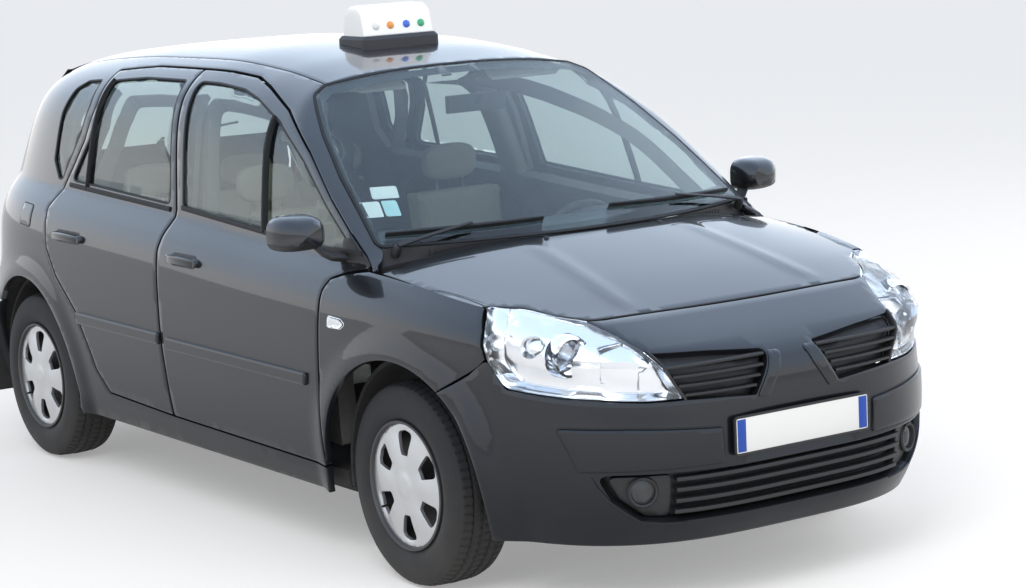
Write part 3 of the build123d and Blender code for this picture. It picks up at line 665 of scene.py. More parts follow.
def flank_tail(pts):
    """chart places of (y, z) points on the tail corner"""
    a = np.asarray(pts, float)
    x = tail_x(a[:, 0], a[:, 1])
    L, w = rear_plan(a[:, 1], np.minimum(x, WRAP_X))
    v1 = np.clip((XR - WRAP_X)/L, 0, .9999)
    f1 = np.arctan2(partner(v1, TAIL_N), v1)
    return columns(WRAP_X - WRAP*(1 - plan_angle(a[:, 0]/w)/f1), a[:, 1] - a[:, 0])


# ---- outlines (x, z) on the side, (y, z) on nose and tail
FRONT_DOOR = [(789, 324), (792, 600), (790, 905), (812, 942), (880, 965), (986, 982), (945, 1016),
        (840, 1084), (704, 1178), (508, 1318), (272, 1438), (60, 1504), (-68, 1532), (-250, 1545),
        (-447, 1548), (-422, 1450), (-392, 1330), (-359, 1200), (-325, 1066), (-338, 935), (-300, 500),
        (-293, 336)]
REAR_DOOR = [(-299, 336), (-306, 500), (-344, 935), (-331, 1066), (-365, 1200), (-398, 1330), (-428, 1450),
        (-453, 1548), (-800, 1546), (-1085, 1524), (-1075, 1400), (-1118, 1270), (-1180, 1180), (-1250, 1085),
        (-1290, 1010), (-1255, 860), (-1174, 760), (-1010, 640), (-920, 500), (-885, 430), (-800, 352)]
DOORS = ([FRONT_DOOR[0], FRONT_DOOR[-1], REAR_DOOR[0], REAR_DOOR[-1]] + REAR_DOOR[-2:7:-1] + [REAR_DOOR[7],
        FRONT_DOOR[14]] + FRONT_DOOR[13:0:-1])
WINDOWS = {
    "front": [(905, 1030), (828, 1060), (690, 1150), (495, 1288), (262, 1404), (55, 1470), (-68, 1496),
              (-250, 1510), (-392, 1512), (-285, 1080), (300, 1045), (700, 1022)],
    "rear": [(-375, 1082), (-485, 1512), (-800, 1510), (-1040, 1492), (-1040, 1400), (-1085, 1270),
             (-1195, 1112)],
    "quarter": [(-1140, 1490), (-1128, 1400), (-1160, 1290), (-1275, 1112), (-1310, 1110), (-1375, 1180),
                (-1370, 1360), (-1330, 1450), (-1260, 1482)]}
TAILGATE = [(-630, 602), (-632, 1000), (-530, 1440), (-470, 1556), (470, 1556), (530, 1440), (632, 1000),
            (630, 602)]
TAIL_GLASS = [(-540, 1125), (-468, 1430), (-425, 1482), (425, 1482), (468, 1430), (540, 1125)]
LAMP_SIDE = [(1694, 692), (1660, 728), (1635, 777), (1625, 818), (1615, 856)]
LAMP_TOP = [(1540, 724), (1618, 654), (1720, 610), (1794, 550)]
LAMP_FACE = [(504, 834), (481, 803), (461, 750), (402, 656), (520, 657), (629, 667)]
GRILLE = [(169, 639), (396, 654), (456, 750), (470, 784), (95, 756)]
BLADE = [(118, 624), (160, 630), (116, 700), (90, 758), (44, 756), (66, 700)]
INTAKE = [(118, 284), (424, 285), (530, 297), (607, 363), (644, 440), (567, 440), (241, 434)]
BAR = [(290, 452), (567, 452), (676, 452), (716, 581), (563, 578), (294, 558)]
FOG = [(452, 300), (520, 306), (590, 362), (624, 430), (452, 430)]
BONNET_X1, BONNET_ARC = 1822.0, 8.5e-5
# the bonnet's rear edge bends back by COWL_ARC times y squared, the scuttle only as far out as COWL_Y
COWL_X, COWL_ARC, COWL_Y = 1113, 2.8e-4, 520


def arc(cx, cz, r, a0, a1, n=40):
    """points of a circle between two angles in degrees"""
    t = np.radians(np.linspace(a0, a1, n))
    return columns(cx + r*np.cos(t), cz + r*np.sin(t))


# ---- finishes
def add(tree, kind, **sets):
    """shader node of the given kind, with its settings"""
    n = tree.nodes.new("ShaderNode" + kind)
    for k, v in sets.items():
        setattr(n, k, v)
    return n


def feed(port, value):
    """give an input its value, or link it when the value is another node's output"""
    if isinstance(value, bpy.types.NodeSocket):
        port.id_data.links.new(value, port)
    else:
        port.default_value = value


def put(ports, **values):
    """feed inputs by name, with _ for a space"""
    for key, value in values.items():
        feed(ports[key.replace("_", " ")], value)


def calc(tree, operation, *values):
    """output of a Math node"""
    n = add(tree, "Math", operation=operation)
    for port, value in zip(n.inputs, values):
        feed(port, value)
    return n.outputs[0]


def blend(tree, amount, a, b, kind="Mix"):
    """output of a node that mixes two colours, or two shaders"""
    n = add(tree, "Mix", data_type="RGBA") if kind == "Mix" else add(tree, kind)
    first = 6 if kind == "Mix" else 1
    for at, value in ((0, amount), (first, a), (first + 1, b)):
        feed(n.inputs[at], value)
    return n.outputs[2 if kind == "Mix" else 0]


def height(tree):
    """output that holds the height above the ground"""
    n = add(tree, "SeparateXYZ")
    feed(n.inputs[0], add(tree, "TexCoord").outputs["Object"])
    return n.outputs["Z"]


def ranged(tree, value, low, high, to_low=0.0, to_high=1.0, **sets):
    """output of a Map Range node"""
    n = add(tree, "MapRange", **sets)
    put(n.inputs, Value=value, From_Min=low, From_Max=high, To_Min=to_low, To_Max=to_high)
    return n.outputs["Result"]


def node_group(name, ins, outs, wire):
    """shader group whose inputs are numbers with defaults; wire(tree, inputs) gives the outputs in order"""
    g = bpy.data.node_groups.new(name, "ShaderNodeTree")
    for label, value in ins.items():
        g.interface.new_socket(label, in_out="INPUT", socket_type="NodeSocketFloat").default_value = value
    for label in outs:
        g.interface.new_socket(label, in_out="OUTPUT", socket_type="NodeSocketFloat")
    results = wire(g, g.nodes.new("NodeGroupInput").outputs)
    for port, value in zip(g.nodes.new("NodeGroupOutput").inputs, results):
        feed(port, value)
    return g


def wire_grain(g, i):
    """solid noise on the object's own coordinates; the mask is its upper part, spread by Contrast"""
    noise = add(g, "TexNoise")
    put(noise.inputs, Detail=3, Vector=add(g, "TexCoord").outputs["Object"], Scale=i["Scale"])
    low, high = calc(g, "SUBTRACT", .5, i["Contrast"]), calc(g, "ADD", .5, i["Contrast"])
    mask = calc(g, "MULTIPLY", ranged(g, noise.outputs["Fac"], low, high), i["Amount"])
    return mask, noise.outputs["Fac"]


def wire_dust(g, i):
    """road dust: strongest at the ground, gone at Top metres, broken up by slow noise"""
    noise = add(g, "TexNoise")
    put(noise.inputs, Scale=9, Vector=add(g, "TexCoord").outputs["Object"])
    low = ranged(g, height(g), i["Top"], .12, interpolation_type="SMOOTHSTEP")
    return [calc(g, "MULTIPLY", calc(g, "MULTIPLY", low, noise.outputs["Fac"]), i["Amount"])]


GROUPS = {}
DUST = (.24, .22, .19, 1)
# the clear coat's share rises from .10 at .30 m above the ground to 1 at 1 m
PAINT_FILM = (.30, 1.0, .10, 1.0)


def finish(name, colour, rough=.5, metal=0.0, coat=0.0, second=None, grain=(300.0, .12, .5), bump=0.0,
           dust=0.0, top=.75, clear=0.0, see=False, glow=0.0):
    """one Principled material; second is the colour the grain leads to, see lets light through for shadows"""
    m = bpy.data.materials.new(name)
    m.use_nodes = True
    t = m.node_tree
    shader, out = t.nodes["Principled BSDF"], t.nodes["Material Output"]
    ports, source = shader.inputs, (*colour, 1)
    put(ports, Roughness=rough, Metallic=metal, Coat_Weight=coat, Coat_Roughness=.03,
        Transmission_Weight=clear, IOR=1.45)
    if glow:
        put(ports, Emission_Color=(1, 1, 1, 1), Emission_Strength=glow)
    if second or bump:
        g = add(t, "Group", node_tree=GROUPS["grain"])
        for key, value in zip(("Scale", "Contrast", "Amount"), grain):
            feed(g.inputs[key], value)
        if second:
            source = blend(t, g.outputs["Mask"], source, (*second, 1))
        if bump:
            relief = add(t, "Bump")
            put(relief.inputs, Strength=.6, Distance=bump, Height=g.outputs["Height"])
            put(ports, Normal=relief.outputs[0])
    if dust:
        d = add(t, "Group", node_tree=GROUPS["dust"])
        put(d.inputs, Top=top, Amount=dust)
        source = blend(t, d.outputs["Mask"], source, DUST)
        put(ports, Roughness=ranged(t, d.outputs["Mask"], 0.0, 1.0, rough, max(rough, .7)))
    put(ports, Base_Color=source)
    if see:
        clear_part = add(t, "BsdfTransparent")
        put(clear_part.inputs, Color=(*[.35 + .6*c for c in colour], 1))
        shadow = add(t, "LightPath").outputs["Is Shadow Ray"]
        feed(out.inputs["Surface"], blend(t, shadow, shader.outputs[0], clear_part.outputs[0], "MixShader"))
    FINISH[name] = m


def make_finishes(s):
    """all finishes; the body paint's clear coat gains weight with height"""
    GROUPS["grain"] = node_group("Fine grain", {"Scale": 300.0, "Contrast": .12, "Amount": .5},
                                 ["Mask", "Height"], wire_grain)
    GROUPS["dust"] = node_group("Road dust", {"Top": .75, "Amount": .3}, ["Mask"], wire_dust)
    p = tuple(s.colours.paint)
    finish("paint", p, .32, .55, 1.0, second=tuple(min(1, c*1.6 + .004) for c in p), grain=(900.0, .15, .5),
           dust=.05, top=.62)
    t = FINISH["paint"].node_tree
    put(t.nodes["Principled BSDF"].inputs, Coat_IOR=1.55, Specular_IOR_Level=.2,
        Coat_Weight=ranged(t, height(t), *PAINT_FILM))
    finish("window glass", tuple(s.colours.glass), 0.0, clear=1.0, see=True)
    finish("clear lens", (.97, .98, 1.0), 0.0, clear=1.0, see=True)
    finish("red lens", (.52, .012, .014), .05, clear=.35, coat=1.0)
    finish("amber lens", (.85, .30, .02), .08, coat=1.0)
    finish("chrome", (.86, .87, .88), .09, 1.0)
    finish("bright lamp bowl", (.78, .79, .80), .16, 1.0)
    finish("lamp body", (.16, .165, .17), .35, .4)
    finish("black trim", (.014, .014, .015), .48, second=(.026, .026, .027), grain=(700.0, .2, .6),
           bump=.0004)
    finish("gloss black", (.008, .008, .009), .12, coat=.6)
    finish("rubber seal", (.010, .010, .011), .62)
    finish("tyre rubber", (.011, .011, .012), .74, second=(.019, .018, .018), grain=(160.0, .2, .6), dust=.16,
           top=.5)
    finish("wheel silver", (.56, .57, .58), .30, .75, .5, dust=.30, top=.6)
    finish("dark steel", (.06, .06, .065), .5, .6, dust=.4, top=.6)
    finish("underbody", (.03, .03, .031), .8, second=(.06, .055, .05), grain=(30.0, .2, .6), bump=.001)
    finish("plate white", (.80, .80, .78), .35)
    finish("plate blue", (.01, .06, .36), .35)
    finish("sign white", (.86, .87, .88), .28, coat=.3, glow=.12)
    finish("white", (.80, .82, .84), .3)
    finish("pale blue", (.50, .74, .80), .4)
    finish("blue lens", (.02, .12, .70), .1, coat=1.0)
    finish("green lens", (.02, .42, .16), .1, coat=1.0)
    c = tuple(s.colours.cloth)
    finish("seat cloth", c, .92, second=tuple(k*.55 for k in c), grain=(420.0, .1, .8), bump=.0006)
    finish("cabin trim", (.11, .105, .10), .6, second=(.16, .155, .145), grain=(250.0, .2, .6), bump=.0004)
    finish("dash", (.030, .030, .032), .55, second=(.05, .05, .052), grain=(400.0, .2, .6), bump=.0004)
    finish("headliner", (.42, .41, .38), .95)
    finish("mirror glass", (.85, .87, .9), .03, 1.0)


# ---- pressed body
PANE_SIDE = ([1041, 1143, 1245, 1371, 1461, 1500], [735, 712, 687, 636, 581, 550])


def pane_top(y):
    """height of the windscreen's top edge at y"""
    return 1542 - 44*(np.abs(y)/555)**2.3


def pane_outline():
    """the windscreen's edge as (y, z)"""
    z = np.linspace(1044, 1480, 12)
    y = np.linspace(510, -510, 25)
    side = columns(np.interp(z, *PANE_SIDE), z)
    top = columns(y, pane_top(y))
    return rounded(np.concatenate([side, top, side[::-1]*[-1, 1]]), 34, 5)


def screen_edge(z):
    """x where the side of the body meets the windscreen at height z"""
    z = np.asarray(z, float)
    x = np.full_like(z, 700.0)
    for _ in range(40):
        x = .5*x + .5*screen_x(plain_half(x, z), z)
    return x


def side_outline():
    """fixed side panel: sill, rear quarter round to the tailgate, roof rail and windscreen pillar"""
    u = grown(DOORS, 3.0)[:-4]
    u[0] = (786, 321)
    z = np.linspace(1004, 1494, 18)
    pillar = columns(screen_edge(z) + np.interp(z, [1004, 1060, 1200, 1300, 1400, 1450, 1480, 1494],
                                                [44, 62, 68, 72, 64, 46, 24, 8]), z)
    xs = np.concatenate([[262], np.linspace(196, -1700, 24)])
    ditch = columns(xs, roof_z(xs, 503.0) - 503.0)
    top = flank_tail([(514, 1476), (536, 1436), (585, 1220)])
    notch = flank_tail([(636, 1062)])
    low = flank_tail([(636, 718), (635, 600)])
    wheel = flank(arc(AXLE_R, AXLE_Z, ARCH_R, 136.6, 0, 44))
    return np.concatenate([flank(u), flank([(1004, 977)]), flank(pillar), ditch, top, notch,
                           flank([(-1882, 1062), (-1882, 718)]), low,
                           wheel, flank([(-1066, 262), (-1050, 240), (784, 237)])])


def fender_outline():
    """front fender in (x, z)"""
    top = [(1010, 973), (1120, 966), (1216, 958), (1340, 947), (1478, 931), (1544, 918)]
    front = [(1580, 888), (1611, 855), (1621, 816), (1628, 772), (1563, 727), (1497, 690)]
    rear = [(796, 350), (798, 600), (797, 903), (816, 939), (884, 960), (986, 975)]
    return rear + top + front + list(map(tuple, arc(AXLE_F, AXLE_Z, ARCH_R, 56, 175, 50)))


def belt_front(y):
    """x of the belt line across the nose"""
    return XF + (NOSE[1][-1] - XF) * partner(np.clip(np.abs(y)/HALF[1][-1], 0, .9999), 5)


def bonnet_front(y):
    """x of the bonnet's front edge at y"""
    return np.minimum(BONNET_X1 - BONNET_ARC*y*y, belt_front(y) - 4)


def bonnet_outline():
    """bonnet in (x, y)"""
    xs = np.linspace(1046, 1526, 18)
    side = np.concatenate([columns(xs, half_width(xs, belt(xs)) - 8),
                           np.array(LAMP_TOP[1:3], float) - [3, 3]])
    ys = np.linspace(541, -541, 41)
    front = columns(bonnet_front(ys), ys)
    yr = np.linspace(-500, 500, 21)
    rear = columns(COWL_X + 3 - COWL_ARC*yr*yr, yr)
    return rounded(np.concatenate([side, front, side[::-1]*[1, -1], rear]), 6, 3)


def nose_edge():
    """the top edge of the nose panel, behind the bonnet's front edge, from left lamp to right"""
    y = np.linspace(548, -548, 41)
    return columns(nose_yz(y, 2000.0)[:, 0], SPAN + np.maximum(belt_front(y) - bonnet_front(y) - 5, 0))


def mirror_pts(p):
    """the same line on the other side, run backwards"""
    return (np.asarray(p) * [-1, 1])[::-1]


def intake_outline():
    """the wide lower intake in (y, z)"""
    p = np.array(INTAKE, float)
    return spaced(rounded(np.concatenate([p, mirror_pts(p)]), 26, 5), 12)


def lamp_top():
    """the part of the lamp edge that lies on top, against the bonnet, in the nose chart"""
    x, y = np.array(LAMP_TOP, float).T
    return columns(nose_yz(y, 2000.0)[:, 0], SPAN + np.maximum(belt_front(y) - x, 0))


def lamp_outline(sign=1):
    """headlamp in the nose chart: outer edge, top edge, then the part seen from the front"""
    o = np.concatenate([placed(nose_xz, LAMP_SIDE), lamp_top(), placed(nose_yz, LAMP_FACE)])
    return rounded(o, [30, 30, 30, 30, 30, 12, 40, 60, 12, 40, 60, 60, 8, 60, 60], 5)*[sign, 1]


def bumper_outline():
    """nose panel and bumper in one: under the grille and lamps, down to the arches and round the bottom"""
    notch = placed(nose_yz, [(509, 837), (486, 806), (474, 790), (300, 779), (91, 762), (112, 718),
                             (162, 636), (280, 645), (400, 651), (520, 652), (631, 662)])
    notch = rounded(np.concatenate([nose_edge()[:1], notch, placed(nose_xz, [(1697, 687)])]),
                    [0, 30, 10, 10, 30, 10, 10, 10, 30, 30, 40, 40, 0], 5)
    wing = placed(nose_xz, [(1664, 722), (1640, 765), (1622, 764), (1563, 720), (1501, 685)])
    side = np.concatenate([notch[1:], wing])
    arch_edge = arc(AXLE_F, AXLE_Z, ARCH_R, 55.6, -14, 60)
    y = np.linspace(640, -640, 25)
    low = columns(nose_yz(y, 214.0)[:, 0], 12.0)
    left = np.concatenate([side, placed(nose_xz, arch_edge)])
    return np.concatenate([left, low, mirror_pts(left), nose_edge()[::-1]])


def plate_seat(y, z, x):
    """how deep the flat seat behind the number plate is cut"""
    return np.maximum(x - 2105, 0) * (1 - fade(y, 266, 290)) * fade(z, 444, 464) * (1 - fade(z, 586, 606))


def belt_row(x0, x1):
    """chart line along the belt, where the panels have their crease"""
    x = np.linspace(x0, x1, 60)
    return columns(x, belt(x) - plain_half(x, belt(x)))


def build_body(s):
    """side panels, wheel wells, fenders, doors, bonnet, roof, tailgate and both bumpers"""
    gap = s.sizes.shut_gap*1000/2
    belts = [belt_row(*ends) for ends in ((-2000, -1330), (-1270, -340), (-320, 940))]
    for side, sy in SIDES:
        flip = sy > 0
        lift = on_flank(sy)
        make("side_panel_" + side, [panel(side_outline(), on_flank(sy, 0, True), flip,
                                          holes=[flank(rounded(WINDOWS["quarter"], 22))], rows=belts, back=22,
                                          step=24)], "paint", replaces=["body_side_" + side])
        a, y = np.radians(np.linspace(-14, 194, 60)), sy*np.array([520, 640, 760, 852])
        A, Y = np.meshgrid(a, y, indexing="ij")
        well = columns(AXLE_R + WELL_R*np.cos(A), Y, AXLE_Z + WELL_R*np.sin(A))
        head = spaced(flank(FRONT_DOOR[8:15]), 30, False)
        disc_wall = np.stack([well[:, 0], np.array([AXLE_R, sy*520, AXLE_Z - 90]) + 0*well[:, 0]], 1)
        make("well_" + side, [grid(well, flip=sy > 0), grid(disc_wall, flip=sy < 0)], "underbody")
        make("door_head_seal_" + side, [sweep(on_flank(sy, 32)(*np.array(head).T), slab(44, 4), (0, 0, 1))],
             "rubber seal")
        make("fender_" + side, [panel(flank(fender_outline()), lift, flip, back=20, step=22)], "paint",
             replaces=["front_fender_" + side])
        for tag, outline, b in (("front", FRONT_DOOR, belts[2]), ("rear", REAR_DOOR, belts[1])):
            hole = flank(rounded(WINDOWS[tag], 26))
            skin = panel(flank(rounded(grown(outline, -gap), 9, 4)), lift, flip, holes=[hole], rows=[b],
                         back=24, step=24)
            inner = panel(flank(rounded(grown(outline, -34), 20, 4)), on_flank(sy, 92), not flip,
                          holes=[flank(grown(rounded(WINDOWS[tag], 26), 2))], step=40, back=-60)
            make("door_%s_%s_skin" % (tag, side), [skin], "paint", "%s_door_%s" % (tag, side),
                 ["door_%s_%s" % (tag, side)])
            make("door_%s_%s_lining" % (tag, side), [inner], "cabin trim", "%s_door_%s" % (tag, side))
    make("bonnet_skin", [panel(bonnet_outline(), on_bonnet, back=22, step=26)], "paint", "bonnet", ["bonnet"])
    ys = np.linspace(-499, 499, 25)
    roof = np.concatenate([columns(screen_x(ys, pane_top(ys)) - 9, ys),
                           columns(-1733 + 1.1e-4*ys[::-1]**2, ys[::-1])])
    make("roof_skin", [panel(rounded(roof, 4, 2), on_roof, back=14, step=34)], "paint",
         replaces=["roof_panel"])
    frame = []
    for k in (1, -1):
        z = np.linspace(606, 1496, 34)
        y = np.interp(z, *np.array(sorted((h, w) for w, h in TAILGATE if w > 0)).T)
        rows = [on_tail(d)(k*(y + w), z) for d, w in ((26, 14), (36, 4), (36, -10))]
        frame.append(grid(np.stack(rows), flip=k < 0))
    X, Y = np.meshgrid(np.linspace(-1655, -1724, 8), np.linspace(-500, 500, 40), indexing="ij")
    frame.append(grid(columns(X, Y, roof_z(X, Y) - 25)))
    make("tailgate_frame", frame, "black trim")
    gate = spaced(rounded(grown(TAILGATE, -gap), 24, 5), 30)
    for _ in range(6):
        limit = roof_z(tail_x(gate[:, 0], gate[:, 1]), gate[:, 0]) - 2
        gate[:, 1] = np.minimum(gate[:, 1], np.where(gate[:, 1] > 1400, limit, 3000))
    make("tailgate_skin", [panel(gate, on_tail(), True, holes=[rounded(TAIL_GLASS, 30, 6)], back=8, step=26,
                                 rows=[[(-600, 1097), (600, 1097)]])], "paint", "tailgate", ["tailgate"])
    arch_rows = [placed(nose_xz, arc(AXLE_F, AXLE_Z, ARCH_R + k, 54, -10, 40), sign=sign)
                 for sign in (1, -1) for k in (14, 34, 56, 80, 102)]
    make("front_bumper_skin", [panel(bumper_outline(), on_nose(0, plate_seat), False,
                                     holes=[placed(nose_yz, intake_outline())], rows=arch_rows, back=34,
                                     step=20)], "paint", replaces=["front_bumper"])
    wheel = arc(AXLE_R, AXLE_Z, ARCH_R, 137.4, 191.5, 26)
    left = np.concatenate([placed(rear_xz, [(-1960, 593)]), placed(rear_xz, wheel)])
    y = np.linspace(700, -700, 31)
    low = columns(rear_yz(y, 240.0)[:, 0], 22.0)
    top = rear_yz(y[::-1], 594.0)
    make("rear_bumper_skin", [panel(np.concatenate([left, low, mirror_pts(left), top]), on_rear(), True,
                                    back=34, step=22)], "paint", replaces=["rear_bumper"])


# ---- glass
def build_glass(s):
    """windscreen, door, quarter and rear windows with their seals"""
    bead = slab(9, 7)
    for side, sy in SIDES:
        flip = sy > 0
        for tag, body in (("front", "front_door_" + side), ("rear", "rear_door_" + side),
                          ("quarter", "car_body")):
            o = flank(rounded(WINDOWS[tag], 26 if tag != "quarter" else 22))
            make("%s_window_%s" % (tag, side),
                 [panel(grown(o, 5), on_flank(sy, 7), flip, step=60, edge=.5, back=3.6, shut=True)],
                 "window glass", body)
            make("%s_window_seal_%s" % (tag, side), [seal_loop(on_flank(sy, 3.5), grown(o, -2), bead, flip)],
                 "rubber seal", body)
    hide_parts("quarter_glass")
    ws = pane_outline()
    make("windscreen_pane", [panel(ws, on_screen(1), True, step=60, edge=.5, back=5, shut=True)],
         "window glass", replaces=["windscreen"])
    band = grown(ws, -20)
    band[:, 1] = np.maximum(band[:, 1], 1090)
    make("windscreen_band", [panel(grown(ws, -1), on_screen(9.5), True, holes=[band], step=40, edge=.3,
                                   back=1.2)], "gloss black")
    make("windscreen_seal", [seal_loop(on_screen(-1.5), grown(ws, 4), slab(12, 7), True)], "rubber seal")
    tg = rounded(TAIL_GLASS, 30, 6)
    make("tailgate_window", [panel(grown(tg, 8), on_tail(9), True, step=60, edge=.5, back=4, shut=True)],
         "window glass", "tailgate")
    make("tailgate_window_seal", [seal_loop(on_tail(3), grown(tg, -2), slab(10, 7), True)], "rubber seal",
         "tailgate")


# ---- wheels
def tyre(x, sy):
    """tread section turned round the axle; blocks are cut by grooves round the tyre and slots across it"""
    v = np.concatenate([[-88, -100, -104, -103, -98, -92], np.linspace(-86, 86, 45),
                        [92, 98, 103, 104, 100, 88]])
    r0 = np.interp(np.abs(v), [0, 60, 84, 92, 98, 103, 104.01], [326, 323.5, 316, 306, 292, 262, 240])
    r0[[0, -1]], r0[[1, -2]], r0[[2, -3]] = 205, 222, 248
    t = np.linspace(0, 2*np.pi, 288, endpoint=False)
    V, T = np.meshgrid(v, t)
    groove = sum(np.exp(-((V - c)/4.2)**4) for c in (-52, -18, 18, 52))
    slot = (np.cos(T*72 + V*.045*np.sign(V)) > .80) * (np.abs(V) < 88) * (np.abs(np.abs(V) - 35) > 6)
    R = r0 - 7*np.clip(groove, 0, 1)*(np.abs(V) < 60) - 5*slot
    return grid(columns(x + R*np.cos(T), sy*(TRACK/2) + sy*V, WHEEL_Z + R*np.sin(T)), wrap_u=True,
                flip=sy < 0)


def wheel_cover(x, sy):
    """domed cover with six windows between broad spokes; spoke faces rise by a cosine of the angle"""
    cy = sy*TRACK/2

    def lift(a, b):
        r, t = np.hypot(a, b), np.arctan2(b, a)
        dome = np.interp(r, [0, 30, 42, 60, 120, 176, 192, 200], [104, 103, 99, 98, 96, 89, 91, 87])
        spoke = np.cos(6*t)*fade(r, 55, 100)*(1 - fade(r, 165, 192))*2.6
        return columns(x + a, cy + sy*(dome + spoke), WHEEL_Z + b)
    holes = []
    for k in range(6):
        m = np.radians(30 + 60*k)
        c, d = np.cos(m), np.sin(m)
        w = np.array([(96, -17), (168, -42), (176, 0), (168, 42), (96, 17)])
        holes.append(rounded(columns(w[:, 0]*c - w[:, 1]*d, w[:, 0]*d + w[:, 1]*c), [10, 16, 0, 16, 10], 5))
    return panel(arc(0, 0, 197, 0, 355, 72), lift, sy > 0, holes=holes, step=11, edge=2, back=13, fine=.8)


def build_wheels(s):
    """tyres, discs, covers and valves"""
    for tag, x, sy in CORNERS:
        cy, body = sy*TRACK/2, "wheel_" + tag
        make("tyre_tread_" + tag, [tyre(x, sy)], "tyre rubber", body, ["tyre_" + tag], sharp=40)
        rim = [(205, -88), (205, 96), (202, 98), (197, 97), (195, 90), (188, 84), (184, 30), (60, 22),
               (0, 22)]
        inner = [(0, 14), (180, 4), (182, -60), (196, -80), (205, -88)]
        bead = [(206, 94), (206, 100), (199, 101), (196, 96)]
        rings = [revolve([(r, cy + sy*w) for r, w in line], (x, WHEEL_Z), flip=sy < 0)
                 for line in (rim, inner, bead)]
        make("wheel_disc_" + tag, rings, "dark steel", body)
        make("wheel_cover_" + tag, [wheel_cover(x, sy)], "wheel silver", body, ["wheel_" + tag], sharp=40)
        place = (x - 150, cy + sy*84, WHEEL_Z - 92)
        valve = turned([(0, 12), (3, 12), (4, 8), (4, -18)], place, (0, sy, 0), 12)
        make("valve_" + tag, [valve], "rubber seal", body)


# ---- lamps, grilles and plate
def build_headlamps(s):
    """clear cover over a bright tub with a round projector, a square reflector and an outer bowl"""
    for side, sy in SIDES:
        edge = spaced(lamp_outline(sy), 9)
        make("headlamp_cover_" + side, [panel(edge, on_nose(3), step=22, edge=2.5, back=9)], "clear lens",
             replaces=["headlamps"] if sy > 0 else [])
        rings = []
        for k, sink in ((1.0, 9), (1.0, 30), (.96, 50), (.88, 66)):
            c = edge.mean(0)
            q = c + (edge - c)*k
            rings.append(on_nose(sink)(*q.T))
        wall = grid(np.stack(rings), wrap_v=True)
        base = panel(edge.mean(0) + (edge - edge.mean(0))*.88, on_nose(66), step=24, edge=1, back=3)
        make("headlamp_tub_" + side, [(*wall, 0), (*base, 0)], "bright lamp bowl")
        parts = []
        aim = np.array([1.0, 0, -.05])
        eye = np.array([1833.0, sy*648, 790.0])
        parts.append((*turned([(60, -30), (62, 0), (58, 14), (49, 16), (45, 2), (44, -10)], eye, aim, 48), 1))
        parts.append((*turned([(0, 26), (16, 24), (30, 17), (40, 5), (44, -8), (44, -26)], eye, aim, 40), 2))
        make("headlamp_projector_" + side, parts, ["lamp body", "chrome", "clear lens"])
        parts = []
        for c, w, h in (((1893.0, sy*545, 760.0), 86, 92), ((1960.0, sy*470, 705.0), 62, 60)):
            base = rounded([(w/2, h/2), (-w/2, h/2), (-w/2, -h/2), (w/2, -h/2)], 14, 5)
            depth = [(1.04, 14), (1.0, 16), (.94, 4), (.80, -20), (.5, -36), (.2, -42)]
            rows = [columns(c[0] + d, c[1] + base[:, 0]*k, c[2] + base[:, 1]*k) for k, d in depth]
            parts.append((*grid(np.array(rows), wrap_v=True), 0))
            parts.append((*turned([(0, 16), (6, 14), (8, 4), (8, -20)], (c[0] - 24, c[1], c[2]), (1, 0, 0),
                                  20), 1))
        parts.append((*turned([(34, 10), (32, 6), (24, -14), (10, -26), (0, -28)], (1745.0, sy*712, 812.0),
                              (.75, sy*.6, 0), 32), 0))
        make("headlamp_reflectors_" + side, parts, ["bright lamp bowl", "clear lens"])


def nose_bar(y0, y1, z, sink, profile, n=40):
    """level bar following the nose at height z from y0 to y1"""
    q = nose_yz(y0 + (y1 - y0)*np.linspace(0, 1, n), z)
    return sweep(on_nose(sink)(*q.T), profile, (0, 0, 1))


